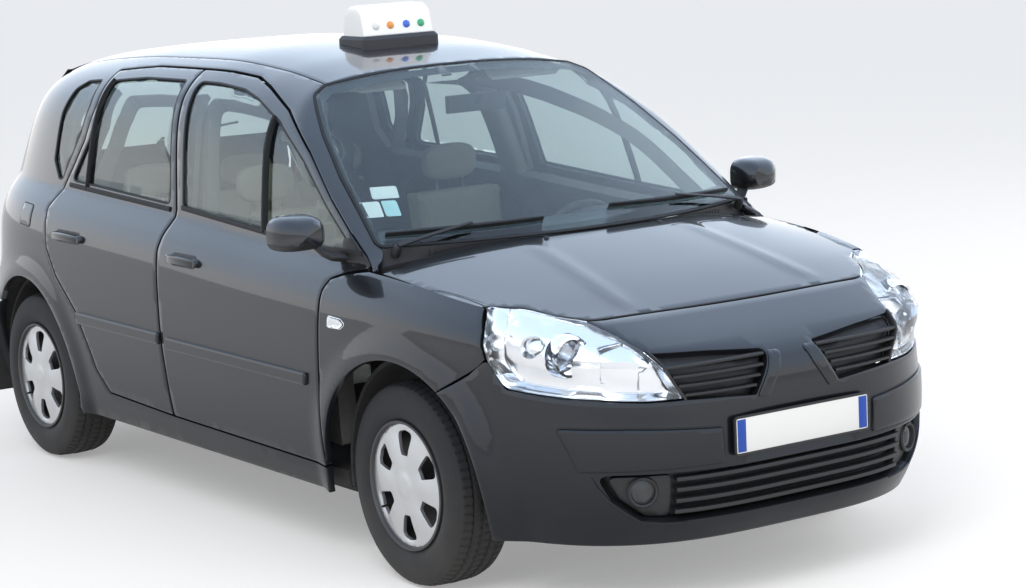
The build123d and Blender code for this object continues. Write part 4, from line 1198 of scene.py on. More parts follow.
def build_front(s):
    """slatted grilles, their blades, bumper bars, the wide intake with its fog lamps, and the blank plate"""
    slats, edging, blades, bars, joints, bezels, rims, lights, lips = [], [], [], [], [], [], [], [], []
    for k in (1, -1):
        for z in (664, 692, 720, 748):
            slats.append(nose_bar(k*np.interp(z, [639, 756], [172, 98]),
                                  k*np.interp(z, [654, 750], [396, 454]), z, 16, slab(26, 9, 3)))
        slats.append(panel(placed(nose_yz, spaced(grown(GRILLE, 3), 20), k), on_nose(36), step=40, edge=1,
                           back=4))
        q = placed(nose_yz, spaced([(401, 650), (461, 750), (476, 786)], 8, False), k)
        edging.append(strip_on(on_nose(15), on_nose(), q, slab(9, 26, 3)))
        blades.append(panel(placed(nose_yz, spaced(rounded(BLADE, 8, 4), 8), k), on_nose(-5), step=14, edge=4,
                            back=20))
        o = spaced(rounded(BAR, 10, 4)*[k, 1], 10)
        bars.append(panel(placed(nose_yz, o), on_nose(-8), step=18, edge=6, back=14))
        q = spaced(placed(nose_yz, grown(o, 2.5)), 12)
        joints.append(strip_on(on_nose(1.0), on_nose(), q, slab(6, 3, 1), closed=True))
        bezels.append(panel(placed(nose_yz, spaced(rounded(FOG, 16, 5), 10), k), on_nose(22), step=18, edge=4,
                            back=24))
        c = on_nose(18)(*nose_yz(np.array([k*533.0]), np.array([384.0])).T)[0]
        axis = np.array([.93, k*.36, 0])
        rims.append(turned([(34, -8), (46, -8), (48, 4), (44, 10), (38, 8), (35, -2)], c, axis, 40))
        lights.append(turned([(0, 6), (20, 4), (35, -1), (35, -8)], c, axis, 32))
        q = placed(nose_yz, spaced([(652, 436), (640, 404), (612, 362), (574, 326), (532, 294), (470, 284),
                                    (400, 281)], 10, False), k)
        n = len(q)
        lips.append(strip_on(on_nose(-1), on_nose(), q, slab(12, 10, 4),
                             scale=.3 + .7*np.sin(np.pi*np.linspace(0, 1, n))**.5))
    make("upper_grilles", slats, "black trim", replaces=["grilles"])
    make("lamp_edging", edging, "black trim")
    make("grille_blades", blades, "paint")
    make("bumper_strips", bars, "paint")
    make("bumper_strip_joints", joints, "rubber seal")
    make("intake_lips", lips, "paint")
    make("fog_covers", bezels + rims, "black trim")
    make("fog_lamps", lights, "clear lens")
    low = [nose_bar(-440, 440, z, 20, slab(34, 13, 4), 60) for z in (316, 350, 384, 416)]
    low.append(panel(placed(nose_yz, grown(intake_outline(), 3)), on_nose(48), step=45, edge=1, back=4))
    make("lower_grille", low, "black trim")
    lo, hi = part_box("number_plate_front")
    lo, hi = np.array(lo)*1000, np.array(hi)*1000
    face = rounded([(lo[1], lo[2]), (hi[1], lo[2]), (hi[1], hi[2]), (lo[1], hi[2])], 9, 4)
    flat = lambda x: (lambda p, q: columns(x, p, q))
    parts = [(*panel(face, flat(hi[0]), step=80, edge=1, back=4, shut=True), 0)]
    rim = spaced(grown(face, 1), 40)
    frame_line = columns(hi[0] - 3, rim[:, 0], rim[:, 1])
    frame_bar = sweep(frame_line, slab(8, 8, 2), (1, 0, 0), closed=True)
    for k in (-1, 1):
        c = [(k*222, lo[2] + 6), (k*254, lo[2] + 6), (k*254, hi[2] - 6), (k*222, hi[2] - 6)]
        parts.append((*panel(c, flat(hi[0] + .8), step=80, edge=.2, back=.7), 1))
    make("plate_front", parts, ["plate white", "plate blue"], replaces=["number_plate_front"])
    make("plate_front_frame", [frame_bar], "black trim")


# ---- side fittings
def flank_bar(pts, sy, sink, profile, n, up):
    """bar following the side through (x, z) points"""
    p = np.asarray(pts, float)
    d = np.concatenate([[0], np.cumsum(np.hypot(*np.diff(p, axis=0).T))])
    t = np.linspace(0, d[-1], n)
    q = flank(columns(np.interp(t, d, p[:, 0]), np.interp(t, d, p[:, 1])))
    return sweep(on_flank(sy, sink)(*q.T), profile, up)


HANDLES = {"front": (-242, -34, 912), "rear": (-1180, -945, 916)}
STRIPS = {"front": (-262, 716, 612), "rear": (-985, -318, 622)}
# name, door, (x, z) points, depth, section, count and upward direction of each strip beside the glass
SEALS = (
    ("waist_strip_front_", "front_door_", [(925, 1026), (700, 1020), (300, 1042), (-285, 1078)], -2,
     slab(8, 18, 3), 50, (0, 0, 1)),
    ("waist_strip_rear_", "rear_door_", [(-372, 1066), (-800, 1082), (-1195, 1096)], -2, slab(8, 18, 3), 40,
     (0, 0, 1)),
    ("window_bar_front_", "front_door_", [(302, 1040), (262, 1240), (222, 1418)], 1, slab(26, 10, 3), 30,
     (1, 0, 0)),
    ("window_bar_rear_", "rear_door_", [(-1052, 1090), (-1052, 1300), (-1040, 1494)], 1, slab(20, 10, 3), 30,
     (1, 0, 0)))


def build_side_fittings(s):
    """door handles, protective strips, door seals, repeaters, fuel flap and sill lines"""
    for side, sy in SIDES:
        flip = sy > 0
        for tag, (x0, x1, z) in HANDLES.items():
            body = "%s_door_%s" % (tag, side)
            t = np.linspace(0, 1, 26)
            x = x0 + 8 + (x1 - x0 - 16)*t
            q = flank(columns(x, z + 5*np.sin(np.pi*t)))
            P = on_flank(sy, 0)(*q.T)
            P[:, 1] += sy*(9 + 17*np.sin(np.pi*t)**.6)
            grip = sweep(P, rounded([(7, 13), (-5, 15), (-5, -15), (7, -13)], 5, 3)*[-sy, 1], (0, 0, 1),
                         scale=.82 + .18*np.sin(np.pi*t)**.5)
            o = rounded([(x0 + 14, z - 22), (x1 - 14, z - 22), (x1 - 14, z + 24), (x0 + 14, z + 24)], 20, 6)
            cup = panel(flank(o), on_flank(sy, -.8), flip, step=16, edge=1.2, back=3)
            feet = []
            for k in (0, -1):
                c = P[k].copy()
                feet.append(turned([(0, 12), (12, 11), (15, 4), (15, -14)], c - [0, sy*4, 0], (0, sy, 0), 20))
            make("handle_%s_%s" % (tag, side), [grip] + feet, "paint", body)
            make("handle_cup_%s_%s" % (tag, side), [cup], "black trim", body)
            key = turned([(0, 3), (7, 3), (9, 1), (9, -3)], P[0] + np.array([-26, -sy*9, 2]), (0, sy, 0), 20)
            if tag == "front":
                make("door_lock_" + side, [key], "chrome", body)
        for tag, (x0, x1, z) in STRIPS.items():
            o = rounded([(x0, z - 26), (x1, z - 26), (x1 + (6 if tag == "front" else 0), z + 18),
                         (x0 + (0 if tag == "front" else -14), z + 20)], 10, 4)
            make("side_strip_%s_%s" % (tag, side),
                 [panel(flank(spaced(o, 40)), on_flank(sy, -12), flip, step=20, edge=8, back=18)], "paint",
                 "%s_door_%s" % (tag, side))
        o = rounded([(856, 794), (930, 796), (956, 812), (930, 826), (856, 830)], 7, 4)
        make("side_repeater_" + side, [panel(flank(spaced(o, 8)), on_flank(sy, -6), flip, step=10, edge=4,
                                             back=8)], "clear lens")
        make("side_repeater_base_" + side, [panel(flank(grown(spaced(o, 8), 2)), on_flank(sy, -1), flip,
                                                  step=10, edge=1, back=3)], "chrome")
        for name, door, pts, sink, profile, n, up in SEALS:
            bar = flank_bar(pts, sy, sink, profile, n, up)
            make(name + side, [bar], "rubber seal", door + side)
    o = rounded([(-1420, 925), (-1530, 932), (-1526, 1010), (-1424, 1006)], 14, 5)
    q = spaced(flank(spaced(grown(o, 1), 12)), 12)
    make("fuel_flap", [panel(flank(spaced(o, 12)), on_flank(-1, -1.6), step=20, edge=2, back=5)], "paint")
    make("fuel_flap_joint", [strip_on(on_flank(-1, -.2), on_flank(-1), q, slab(5, 2.4, 1), closed=True)],
         "rubber seal")
    for side, sy in SIDES:
        xs = np.linspace(175, -1700, 80)
        P = columns(xs, sy*501.2, roof_z(xs, 501.0) - 4.0)
        make("roof_ditch_" + side, [sweep(P, slab(6, 6, 2), (0, 0, 1))], "rubber seal")


def build_mirrors(s):
    """door mirrors: a rounded shell with a dark lower part and foot, and a glass facing back"""
    for side, sy in SIDES:
        body = "front_door_" + side
        u = np.linspace(0, np.pi*2, 56, endpoint=False)
        cy, cz = 944.0, 1088.0
        ry = np.where(np.cos(u) > 0, 84.0, 86.0)
        rz = np.where(np.sin(u) > 0, 66.0, 50.0)
        ex = lambda v, k: np.sign(v)*np.abs(v)**k
        oy, oz = ry*ex(np.cos(u), .62), rz*ex(np.sin(u), .62)
        rows = []
        for x, k in ((742, .90), (741, .97), (745, 1.0), (775, 1.0), (805, .95), (832, .82), (850, .60),
                     (859, .32), (861, .02)):
            rows.append(columns(x - .10*oy*(k > .5), sy*(cy + oy*k), cz + oz*k + 3*(1-k)))
        rows = np.array(rows)
        co, f = grid(rows, wrap_v=True, flip=sy < 0)
        low = np.array([co[list(t)].mean(0)[2] < cz - 20 for t in f])
        shell = [(co, [t for t, k in zip(f, low) if not k], 0), (co, [t for t, k in zip(f, low) if k], 1)]
        make("mirror_shell_" + side, shell, ["paint", "black trim"], body, ["mirror_" + side])
        glass = [columns(x - lean*oy, sy*(cy + oy*w), cz + oz*h) for x, lean, w, h in
                 ((744, .10, .93, .92), (750, .10, .90, .89), (751, .05, .02, .02))]
        make("mirror_glass_" + side, [grid(np.array(glass), wrap_v=True, flip=sy > 0)], "mirror glass", body)
        foot = [(sy*880, 1046), (sy*858, 1024), (sy*832, 1010), (sy*790, 1004)]
        P = along([(795 + 8*i, y, z) for i, (y, z) in enumerate(foot)], 16)
        make("mirror_foot_" + side, [sweep(P, disc(22, .55, 20), (0, 0, 1),
                                           scale=np.linspace(.95, 1.35, 16))], "black trim", body)
        tri = [(985, 986), (948, 1012), (850, 1072), (806, 1062), (800, 1000), (884, 984)]
        make("mirror_base_" + side, [panel(flank(spaced(rounded(tri, 8, 4), 14)), on_flank(sy, -1.5), sy > 0,
                                           step=18, edge=2, back=8)], "black trim", body)


# ---- cowl, wipers, sign
def build_cowl(s):
    """scuttle grille, two opposed wipers with arms and blades, washer jets"""
    y = np.linspace(-742, 742, 80)
    front = COWL_X - COWL_ARC*y*y
    outer = COWL_X - COWL_ARC*COWL_Y**2 - .35*(np.abs(y) - COWL_Y)
    front = np.where(np.abs(y) > COWL_Y, np.maximum(front, outer), front)
    rear = screen_x(y, 1040.0) + 3
    t = np.linspace(0, 1, 12)
    X = front[:, None] + (rear - front)[:, None]*t
    zf = bonnet_z(front, y) - 16
    Z = zf[:, None] + (1034 - zf)[:, None]*t - 10*np.sin(np.pi*t)
    top = columns(X, y[:, None], Z)
    make("scuttle_panel", [grid(top, flip=True), grid(np.stack([top[:, 0], top[:, 0] - [0, 0, 30]], 1))],
         "black trim", replaces=["cowl"])
    ribs = []
    for k in np.linspace(-600, 600, 61):
        i = int(np.argmin(np.abs(y - k)))
        ribs.append(sweep(top[i, 2:10] + [0, 0, 2.0], slab(4, 4, 1), (0, 0, 1)))
    make("scuttle_ribs", ribs, "black trim")
    blades, arms, pivots = [], [], []
    for py, (by0, bz0), (by1, bz1) in ((-700, (-700, 1068), (-185, 1076)), (700, (700, 1066), (90, 1088))):
        t = np.linspace(0, 1, 40)
        yy, zz = by0 + (by1 - by0)*t, bz0 + (bz1 - bz0)*t
        B = on_screen(-7)(yy, zz)
        n = SCREEN_NORMAL
        blades.append(sweep(B, slab(7, 13, 2), n))
        blades.append(sweep(B + n*9, slab(12, 5, 2), n, scale=.55 + .45*np.sin(np.pi*t)))
        pv = np.array([float(screen_x(py, 1036.0)) + 26, py, 1034.0])
        mid = B[20] + n*20
        a = [pv + n*16, pv*.8 + mid*.2 + n*14, pv*.5 + mid*.5 + n*10, mid]
        arms.append(sweep(along(a, 24), slab(16, 7, 2), n, scale=np.linspace(1.15, .6, 24)))
        pivots.append(turned([(0, 16), (12, 14), (15, 6), (15, -22)], pv, n, 20))
    make("wiper_blades", blades, "rubber seal", replaces=["wipers"])
    make("wiper_arms", arms + pivots, "black trim")
    jets = [turned([(0, 7), (7, 6), (9, 2), (10, -3)], (1150, k*230, float(bonnet_z(1150.0, 230.0)) + .5),
                   (0, 0, 1), 16) for k in (1, -1)]
    make("washer_jets", jets, "black trim", "bonnet")


def build_sign(s):
    """roof sign: a domed white box on a dark foot, four small lenses across its front"""
    secs = []
    for y, k in ((-147, .80), (-146, .90), (-138, .97), (-110, 1.0), (0, 1.0), (110, 1.0), (138, .97),
                 (146, .90), (147, .80)):
        base = rounded([(-198, 1640), (-42, 1640), (-62, 1728), (-92, 1749), (-152, 1749), (-186, 1726)],
                       [6, 6, 22, 22, 22, 22], 6)
        c = np.array([-120, 1642.0])
        q = c + (base - c)*k
        secs.append(columns(q[:, 0], y, q[:, 1]))
    co, f = grid(np.array(secs), wrap_v=True)
    n, m = len(secs), len(secs[0])
    shell = (co, f + [tuple(range(m))[::-1], tuple(range((n-1)*m, n*m))])
    make("sign_shell", [shell], "sign white", replaces=["roof_sign"])
    x, y = spaced(rounded([(-222, -158), (-18, -158), (-18, 158), (-222, 158)], 26, 6), 20).T
    top = columns(-120 + (x + 120)*.90, y*.95, 1642.0)
    middle = columns(x, y, 1630.0)
    low = columns(x, y, roof_z(x, y) + .4)
    co, f = grid(np.stack([top, middle, low]), wrap_v=True, flip=True)
    make("sign_foot", [(co, f + [tuple(range(len(x)))])], "dark steel")
    lens = []
    for mat, y in enumerate((-96, -34, 34, 96)):
        at = np.array([-50.0, y, 1676.0])
        lens.append((*turned([(0, 10), (8, 9), (13, 5), (15, -2), (15, -8)], at, (.97, 0, .24), 24), mat))
    make("sign_lenses", lens, ["white", "amber lens", "blue lens", "green lens"])


# ---- tail
def build_tail(s):
    """lamp clusters, rear plate, handle, wiper, high stop lamp, bumper strips and reflectors"""
    for side, sy in SIDES:
        o = flank_tail([(636, 722), (636, 1056)])
        q = np.concatenate([o, flank([(-1886, 1056), (-1886, 722)])])
        o = spaced(rounded(q, [6, 6, 12, 12], 4), 14)
        make("tail_lamp_" + side, [panel(o, on_flank(sy, .5), sy > 0, step=22, edge=4, back=18)], "red lens",
             replaces=["tail_lamps"] if sy > 0 else [])
        c = o.mean(0)
        make("tail_lamp_back_" + side, [panel(grown(o, -8), on_flank(sy, 21), not sy > 0, step=40, edge=1,
                                              back=2)], "cabin trim")
        k = c + (o - c)*[.72, .20]
        make("tail_lamp_clear_" + side, [panel(k + [0, 30], on_flank(sy, -1.2), sy > 0, step=22, edge=1.5,
                                               back=4)], "white")
    flat = lambda p, q: columns(tail_x(p*0, q) - 3.0, p, q)
    face = rounded([(-260, 690), (260, 690), (260, 800), (-260, 800)], 9, 4)
    recess = rounded([(-300, 668), (300, 668), (300, 836), (-300, 836)], 18, 5)
    make("tail_plate_recess", [panel(recess, on_tail(-1.0), True, step=30, edge=2, back=4)], "black trim",
         "tailgate")
    make("tail_plate", [panel(face, flat, True, step=60, edge=1, back=3)], "plate white", "tailgate")
    bar = [(-290, 846), (290, 846), (280, 874), (-280, 874)]
    make("tailgate_handle", [panel(rounded(bar, 10, 4), on_tail(-6), True, step=26, edge=4, back=10)],
         "paint", "tailgate")
    t = np.linspace(0, 1, 30)
    y, z = 20 + 360*t, 1150 + 40*t
    blade = sweep(columns(tail_x(y, z) - 9, y, z), slab(9, 14, 2), (-1, 0, 0))
    y, z = y[:16], 1128 + 44*t[:16]
    arm = sweep(columns(tail_x(y, z) - 20, y, z), slab(12, 8, 2), (-1, 0, 0))
    hub = turned([(0, 20), (14, 18), (18, 6), (18, -8)], (float(tail_x(20.0, 1128.0)), 20, 1128), (-1, 0, 0),
                 24)
    make("tail_wiper", [blade, arm, hub], "black trim", "tailgate")
    o = rounded([(-120, 1494), (120, 1494), (112, 1516), (-112, 1516)], 7, 4)
    make("high_stop_lamp", [panel(o, on_tail(-2), True, step=20, edge=2, back=5)], "red lens", "tailgate")
    for name, pts, radius, sink, edge, back, look in (
            ("rear_bumper_strips", [(180, 486), (700, 490), (710, 534), (176, 534)], 10, -5, 4, 10, "paint"),
            ("rear_reflectors", [(520, 330), (660, 334), (660, 372), (520, 368)], 7, -3, 2.5, 6, "red lens")):
        o = spaced(rounded(pts, radius, 4), 14)
        make(name, [panel(placed(rear_yz, o, k), on_rear(sink), True, step=20, edge=edge, back=back)
                    for k in (1, -1)], look)


# ---- cabin
CAD_FINISH = {"dashboard": "dash", "steering_wheel": "dash", "interior_mirror": "black trim",
        "arch_liners": "underbody", "engine": "underbody", "exhaust": "dark steel", "floor_pan": "underbody",
        "front_subframe": "underbody", "fuel_tank": "underbody", "rear_axle": "underbody",
        "knuckle_left": "dark steel", "knuckle_right": "dark steel"}
# (x, z) outlines of the trims beside the seats
POST = [(-305, 1070), (-372, 1090), (-450, 1490), (-380, 1500), (-330, 1300)]
COLUMN = [(-236, 332), (-258, 500), (-284, 935), (-274, 1066), (-306, 1200), (-340, 1330), (-362, 1425),
          (-474, 1425), (-448, 1330), (-414, 1200), (-378, 1066), (-394, 935), (-356, 500), (-350, 332)]
QUARTER = [(-1120, 1500), (-1100, 1330), (-1150, 1240), (-1300, 1060), (-1300, 700), (-1700, 700),
           (-1720, 1200), (-1660, 1440), (-1560, 1500)]
SEAT_Y, SEAM_DEPTH = 400, 5.0
SEAMS = {"front_cushion": ([165, -165], [60]), "front_back": ([150, -150], []),
         "rear_cushion": ([190, -190], []), "rear_back": ([190, -190], [])}


def hull_box(lo, hi, n=(8, 8, 4), lean=0.0, taper=0.0):
    """closed box of even quads; lean shifts x with height, taper narrows the top"""
    lo, hi = np.asarray(lo, float), np.asarray(hi, float)
    t = np.stack(np.meshgrid(*[np.linspace(0, 1, k + 1) for k in n], indexing="ij"), -1)
    faces_co, faces, at = [], [], 0
    for ax in range(3):
        for end in (0, -1):
            f = np.take(t, end, ax)
            P = lo + f*(hi - lo)
            co, q = grid(P, flip=(end == 0) != (ax == 1))
            faces_co.append(co)
            faces += [tuple(i + at for i in k) for k in q]
            at += len(co)
    co = np.concatenate(faces_co)
    u = (co - lo)/(hi - lo)
    co[:, 1] = (lo[1] + hi[1])/2 + (co[:, 1] - (lo[1] + hi[1])/2)*(1 - taper*u[:, 2])
    co[:, 0] += lean*u[:, 2]
    return co, faces


def vertex_rows(mesh, key):
    """a mesh's vertex places or normals, one row each"""
    out = np.empty(len(mesh.vertices)*3)
    mesh.vertices.foreach_get(key, out)
    return out.reshape(-1, 3)


def swell(part, cap, voxel, seams, across):
    """soft form: the closed part is remeshed evenly and blown up by a short cloth run with its travel capped.
    Then sewn lines are pressed in by a gaussian of the distance to each line"""
    scene = bpy.context.scene
    me = bpy.data.meshes.new("soft")
    me.from_pydata((part[0]*MM).tolist(), [], part[1])
    ob = bpy.data.objects.new("soft", me)
    scene.collection.objects.link(ob)
    m = ob.modifiers.new("even", "REMESH")
    m.mode, m.voxel_size = "VOXEL", voxel*MM
    dg = bpy.context.evaluated_depsgraph_get()
    even = bpy.data.meshes.new_from_object(ob.evaluated_get(dg))
    ob.modifiers.clear()
    ob.data = even
    start, normal = vertex_rows(even, "co")/MM, vertex_rows(even, "normal")
    cloth = ob.modifiers.new("cloth", "CLOTH").settings
    cloth.quality, cloth.mass = 4, .3
    cloth.use_pressure, cloth.uniform_pressure_force = True, 4.0
    cloth.effector_weights.gravity = 0
    for frame in range(1, 21):
        scene.frame_set(frame)
    blown = ob.evaluated_get(bpy.context.evaluated_depsgraph_get()).to_mesh()
    end = vertex_rows(blown, "co")/MM
    scene.frame_set(1)
    move = end - start
    far = np.linalg.norm(move, axis=1)[:, None] + 1e-9
    move *= np.minimum(1, cap/far)
    move[:, 2] = np.where(move[:, 2] < 0, move[:, 2]*.25, move[:, 2])
    end = start + move
    mid = (end[:, 1].max() + end[:, 1].min())/2
    dip = sum((np.exp(-((end[:, 1] - mid - y)/7)**2) for y in seams), np.zeros(len(end)))
    dip = dip + sum((np.exp(-((end[:, 0] - x)/7)**2) for x in across), np.zeros(len(end)))
    end = end - normal*SEAM_DEPTH*np.clip(dip, 0, 1)[:, None]
    faces = [tuple(q.vertices) for q in even.polygons]
    bpy.data.objects.remove(ob)
    return end, faces


def soft_piece(name, part, replaces=()):
    """one padded piece of seat cloth"""
    ob = make(name, [part], "seat cloth", replaces=replaces, sharp=180.0)
    sub = ob.modifiers.new("even", "SUBSURF")
    sub.levels = sub.render_levels = 1
    return ob


def pebble(lo, hi, power=3.2, n=22):
    """closed rounded pad: a sphere pushed out towards its box by a power"""
    lo, hi = np.asarray(lo, float), np.asarray(hi, float)
    a, b = np.linspace(-np.pi/2, np.pi/2, n), np.linspace(0, 2*np.pi, 2*n, endpoint=False)
    A, B = np.meshgrid(a[1:-1], b, indexing="ij")
    d = columns(np.cos(A)*np.cos(B), np.cos(A)*np.sin(B), np.sin(A))
    d = d/(np.abs(d)**power).sum(-1, keepdims=True)**(1/power)
    mid, half = (lo + hi)/2, (hi - lo)/2
    co, f = grid(mid + d*half, wrap_v=True)
    m, k = 2*n, len(a) - 2
    co = np.concatenate([co, [mid - [0, 0, half[2]], mid + [0, 0, half[2]]]])
    f += [(m*k, (i + 1) % m, i) for i in range(m)]
    f += [(m*k + 1, (k-1)*m + i, (k-1)*m + (i + 1) % m) for i in range(m)]
    return co, f


def build_cabin(s):
    """padded seats and bench, headrests on posts, dash fittings, pedals, gear lever, trims and roof lining"""
    for node, key in CAD_FINISH.items():
        ob = bpy.data.objects[node]
        for k in range(len(ob.material_slots)):
            ob.material_slots[k].material = FINISH[key]
    cush = swell(hull_box((-316, -222, 350), (196, 222, 452), (10, 10, 3)), 16, 7.0, *SEAMS["front_cushion"])
    back = swell(hull_box((-306, -222, 462), (-226, 222, 1018), (3, 10, 12), lean=-98, taper=.12), 15, 7.0,
                 *SEAMS["front_back"])
    for side, sy in SIDES:
        mv = np.array([0, sy*(SEAT_Y + 2.5), 0])
        soft_piece("front_cushion_" + side, (cush[0] + mv, cush[1]), ["front_seats"] if sy > 0 else ())
        soft_piece("front_backrest_" + side, (back[0] + mv, back[1]))
        soft_piece("front_headrest_" + side, pebble((-415, sy*SEAT_Y - 116, 1052),
                                                    (-338, sy*SEAT_Y + 116, 1188)))
        posts = [sweep([(-378, sy*SEAT_Y + k, 1000), (-374, sy*SEAT_Y + k, 1075)], disc(6, 1, 12), (0, 1, 0))
                 for k in (-60, 60)]
        make("front_headrest_posts_" + side, posts, "chrome")
        boxes = ((-276, -196, 236, 116, 196, 348, 14), (-290, -206, 236, 150, -176, 262, 6),
                 (-290, 176, 236, 150, 206, 262, 6))
        base = [block((x0, sy*SEAT_Y + y0, z0), (x1, sy*SEAT_Y + y1, z1), r)
                for x0, y0, z0, x1, y1, z1, r in boxes]
        make("front_seat_base_" + side, base, "dash")
    cush = swell(hull_box((-1166, -540, 380), (-696, 540, 484), (10, 20, 3)), 15, 9.0, *SEAMS["rear_cushion"])
    back = swell(hull_box((-1160, -540, 470), (-1082, 540, 1002), (3, 20, 12), lean=-104, taper=.05), 15, 9.0,
                 *SEAMS["rear_back"])
    soft_piece("rear_bench_cushion", cush, ["rear_seats"])
    soft_piece("rear_bench_backrest", back)
    for i, y in enumerate((-420, 0, 420)):
        soft_piece("rear_headrest_%d" % i, pebble((-1286, y - 112, 1014), (-1216, y + 112, 1134)))
    make("rear_bench_base", [block((-1046, -536, 236), (-764, 536, 378), 14)], "cabin trim")
    # dash fittings
    hood = sweep([(632, 250, 985), (640, 290, 1008), (646, 370, 1018), (640, 450, 1008), (632, 490, 985)],
                 slab(150, 14, 6), (0, 0, 1))
    make("instrument_hood", [hood], "dash")
    vents = []
    for y in (-560, -120, 120, 560):
        c = np.array([557.0, y, 850.0])
        vents.append(turned([(44, -2), (46, 6), (40, 9), (36, 2), (35, -12)], c, (-1, 0, 0), 32))
        vents += [block((550, y - 34, 832 + 12*k), (554, y + 34, 835 + 12*k), 1) for k in range(4)]
    vents.append(block((548, -92, 690), (558, 92, 800), 8))
    vents += [turned([(0, 14), (16, 13), (18, 10), (20, -4)], (548, y, 715), (-1, 0, 0), 24)
              for y in (-55, 0, 55)]
    make("dash_vents", vents, "black trim")
    make("dash_screen", [block((544, -70, 742), (550, 70, 792), 3)], "gloss black")
    lever = [sweep([(470, 0, 560), (450, 0, 640), (430, 0, 700)], disc(9, 1, 12), (0, 1, 0),
                   scale=[1.6, 1, .9]), pebble((404, -26, 690), (456, 26, 748), 2.4, 12)]
    make("gear_lever", lever, "black trim")
    make("centre_console", [block((-120, -88, 331), (556, 88, 470), 24),
                            block((300, -80, 470), (556, 80, 566), 20)], "dash")
    pedals = [block((600, y - w, 420), (612, y + w, 480), 3) for y, w in ((250, 26), (350, 34), (450, 24))]
    make("pedals", pedals, "black trim")
    # linings
    x, y = np.linspace(232, -1690, 40), np.linspace(-468, 468, 24)
    X, Y = np.meshgrid(x, y, indexing="ij")
    lining = columns(X, Y, roof_z(X, Y) - 34 - 10*(np.abs(Y)/468)**6)
    make("roof_lining", [grid(lining)], "headliner")
    visors = [block((150, k*330 - 150, 1508), (268, k*330 + 150, 1520), 6) for k in (1, -1)]
    visors = [(co - [0, 0, 1]*np.maximum(0, (co[:, :1] - 150))*.34, f) for co, f in visors]
    make("sun_visors", visors, "headliner")
    hole = flank(grown(rounded(WINDOWS["quarter"], 22), 3))
    for side, sy in SIDES:
        for name, pts, sink, out, holes, edge, back in (
                ("post_trim_", POST, 52, False, (), 2, -20), ("centre_post_", COLUMN, 102, True, (), 6, 40),
                ("quarter_trim_", QUARTER, 60, False, [hole], 2, -30)):
            trim = panel(flank(spaced(pts, 60)), on_flank(sy, sink), (sy > 0) == out, holes, 40, edge, back)
            make(name + side, [trim], "cabin trim")
    stickers = []
    for z0, z1, y0, y1, m in ((1178, 1212, -648, -566, 0), (1128, 1172, -718, -652, 0),
                              (1128, 1172, -646, -600, 1)):
        o = rounded([(y0, z0), (y1, z0), (y1 + 18*(y1 < 0), z1), (y0 + 18, z1)], 5, 3)
        stickers.append((*panel(o, on_screen(9.5), True, step=40, edge=.2, back=.5), m))
    make("windscreen_stickers", stickers, ["white", "pale blue"])


# ---- stage
CAMERA_PLACE, CAMERA_LENS = (8.1595, -5.131, 2.212), 93.9
CAMERA_AHEAD, CAMERA_RIGHT = (-.8170, .5549, -.1570), (.5673, .8222, -.0460)
LAMPS = (("key", (5.5, -6.0, 7.0), 5.0), ("fill", (3.0, 8.0, 5.0), 6.0), ("front", (10.0, 1.0, 4.5), 4.0))
LAMP_AIM = Vector((0, 0, .7))


def seen(tree):
    """1 for rays that show a surface, straight, through glass or mirrored; 0 for rays that light one"""
    rays = add(tree, "LightPath").outputs
    mirrored = calc(tree, "MAXIMUM", rays["Is Camera Ray"], rays["Is Glossy Ray"])
    return calc(tree, "MAXIMUM", mirrored, rays["Is Transmission Ray"])


def build_stage(s):
    """floor, sky, lamps and camera"""
    sc = bpy.context.scene
    sc.view_settings.view_transform = "Standard"
    bpy.ops.mesh.primitive_plane_add(size=240, location=(0, 0, 0))
    floor = bpy.context.object
    floor.name = "floor"
    m = bpy.data.materials.new("floor")
    m.use_nodes = True
    put(m.node_tree.nodes["Principled BSDF"].inputs, Base_Color=(.78, .77, .76, 1), Roughness=.9,
        Emission_Color=(1, 1, 1, 1), Emission_Strength=calc(m.node_tree, "MULTIPLY", seen(m.node_tree),
                                                            s.light.floor))
    floor.data.materials.append(m)
    w = bpy.data.worlds.new("sky")
    sc.world = w
    w.use_nodes = True
    t = w.node_tree
    flat, pale = t.nodes["Background"], add(t, "Background")
    put(flat.inputs, Color=(.93, .96, 1, 1), Strength=s.light.sky)
    part, ramp = add(t, "SeparateXYZ"), add(t, "ValToRGB")
    feed(part.inputs[0], add(t, "TexCoord").outputs["Generated"])
    feed(ramp.inputs[0], part.outputs["Z"])
    e = ramp.color_ramp.elements
    e[0].position, e[0].color = .02, (.86, .86, .86, 1)
    e[1].position, e[1].color = .9, (.50, .64, .86, 1)
    e.new(.30).color = (.68, .80, .96, 1)
    boost = calc(t, "MULTIPLY_ADD", add(t, "LightPath").outputs["Is Glossy Ray"], .9, 1.0)
    put(pale.inputs, Color=ramp.outputs[0], Strength=boost)
    feed(t.nodes["World Output"].inputs[0], blend(t, seen(t), flat.outputs[0], pale.outputs[0], "MixShader"))
    for name, loc, size in LAMPS:
        la = bpy.data.lights.new(name, "AREA")
        la.size, la.energy = size, getattr(s.light, name)
        ob = bpy.data.objects.new(name, la)
        ob.location = loc
        ob.rotation_euler = (LAMP_AIM - Vector(loc)).to_track_quat("-Z", "Y").to_euler()
        ob.visible_glossy = False
        sc.collection.objects.link(ob)
    cam = bpy.data.cameras.new("camera")
    cam.lens, cam.sensor_width, cam.clip_end = CAMERA_LENS, 36.0, 200
    ob = bpy.data.objects.new("camera", cam)
    ahead, right = Vector(CAMERA_AHEAD).normalized(), Vector(CAMERA_RIGHT)
    right = (right - right.dot(ahead)*ahead).normalized()
    turn = Matrix((right, right.cross(ahead), -ahead)).transposed().to_4x4()
    ob.matrix_world = Matrix.Translation(CAMERA_PLACE) @ turn
    sc.collection.objects.link(ob)
    sc.camera = ob


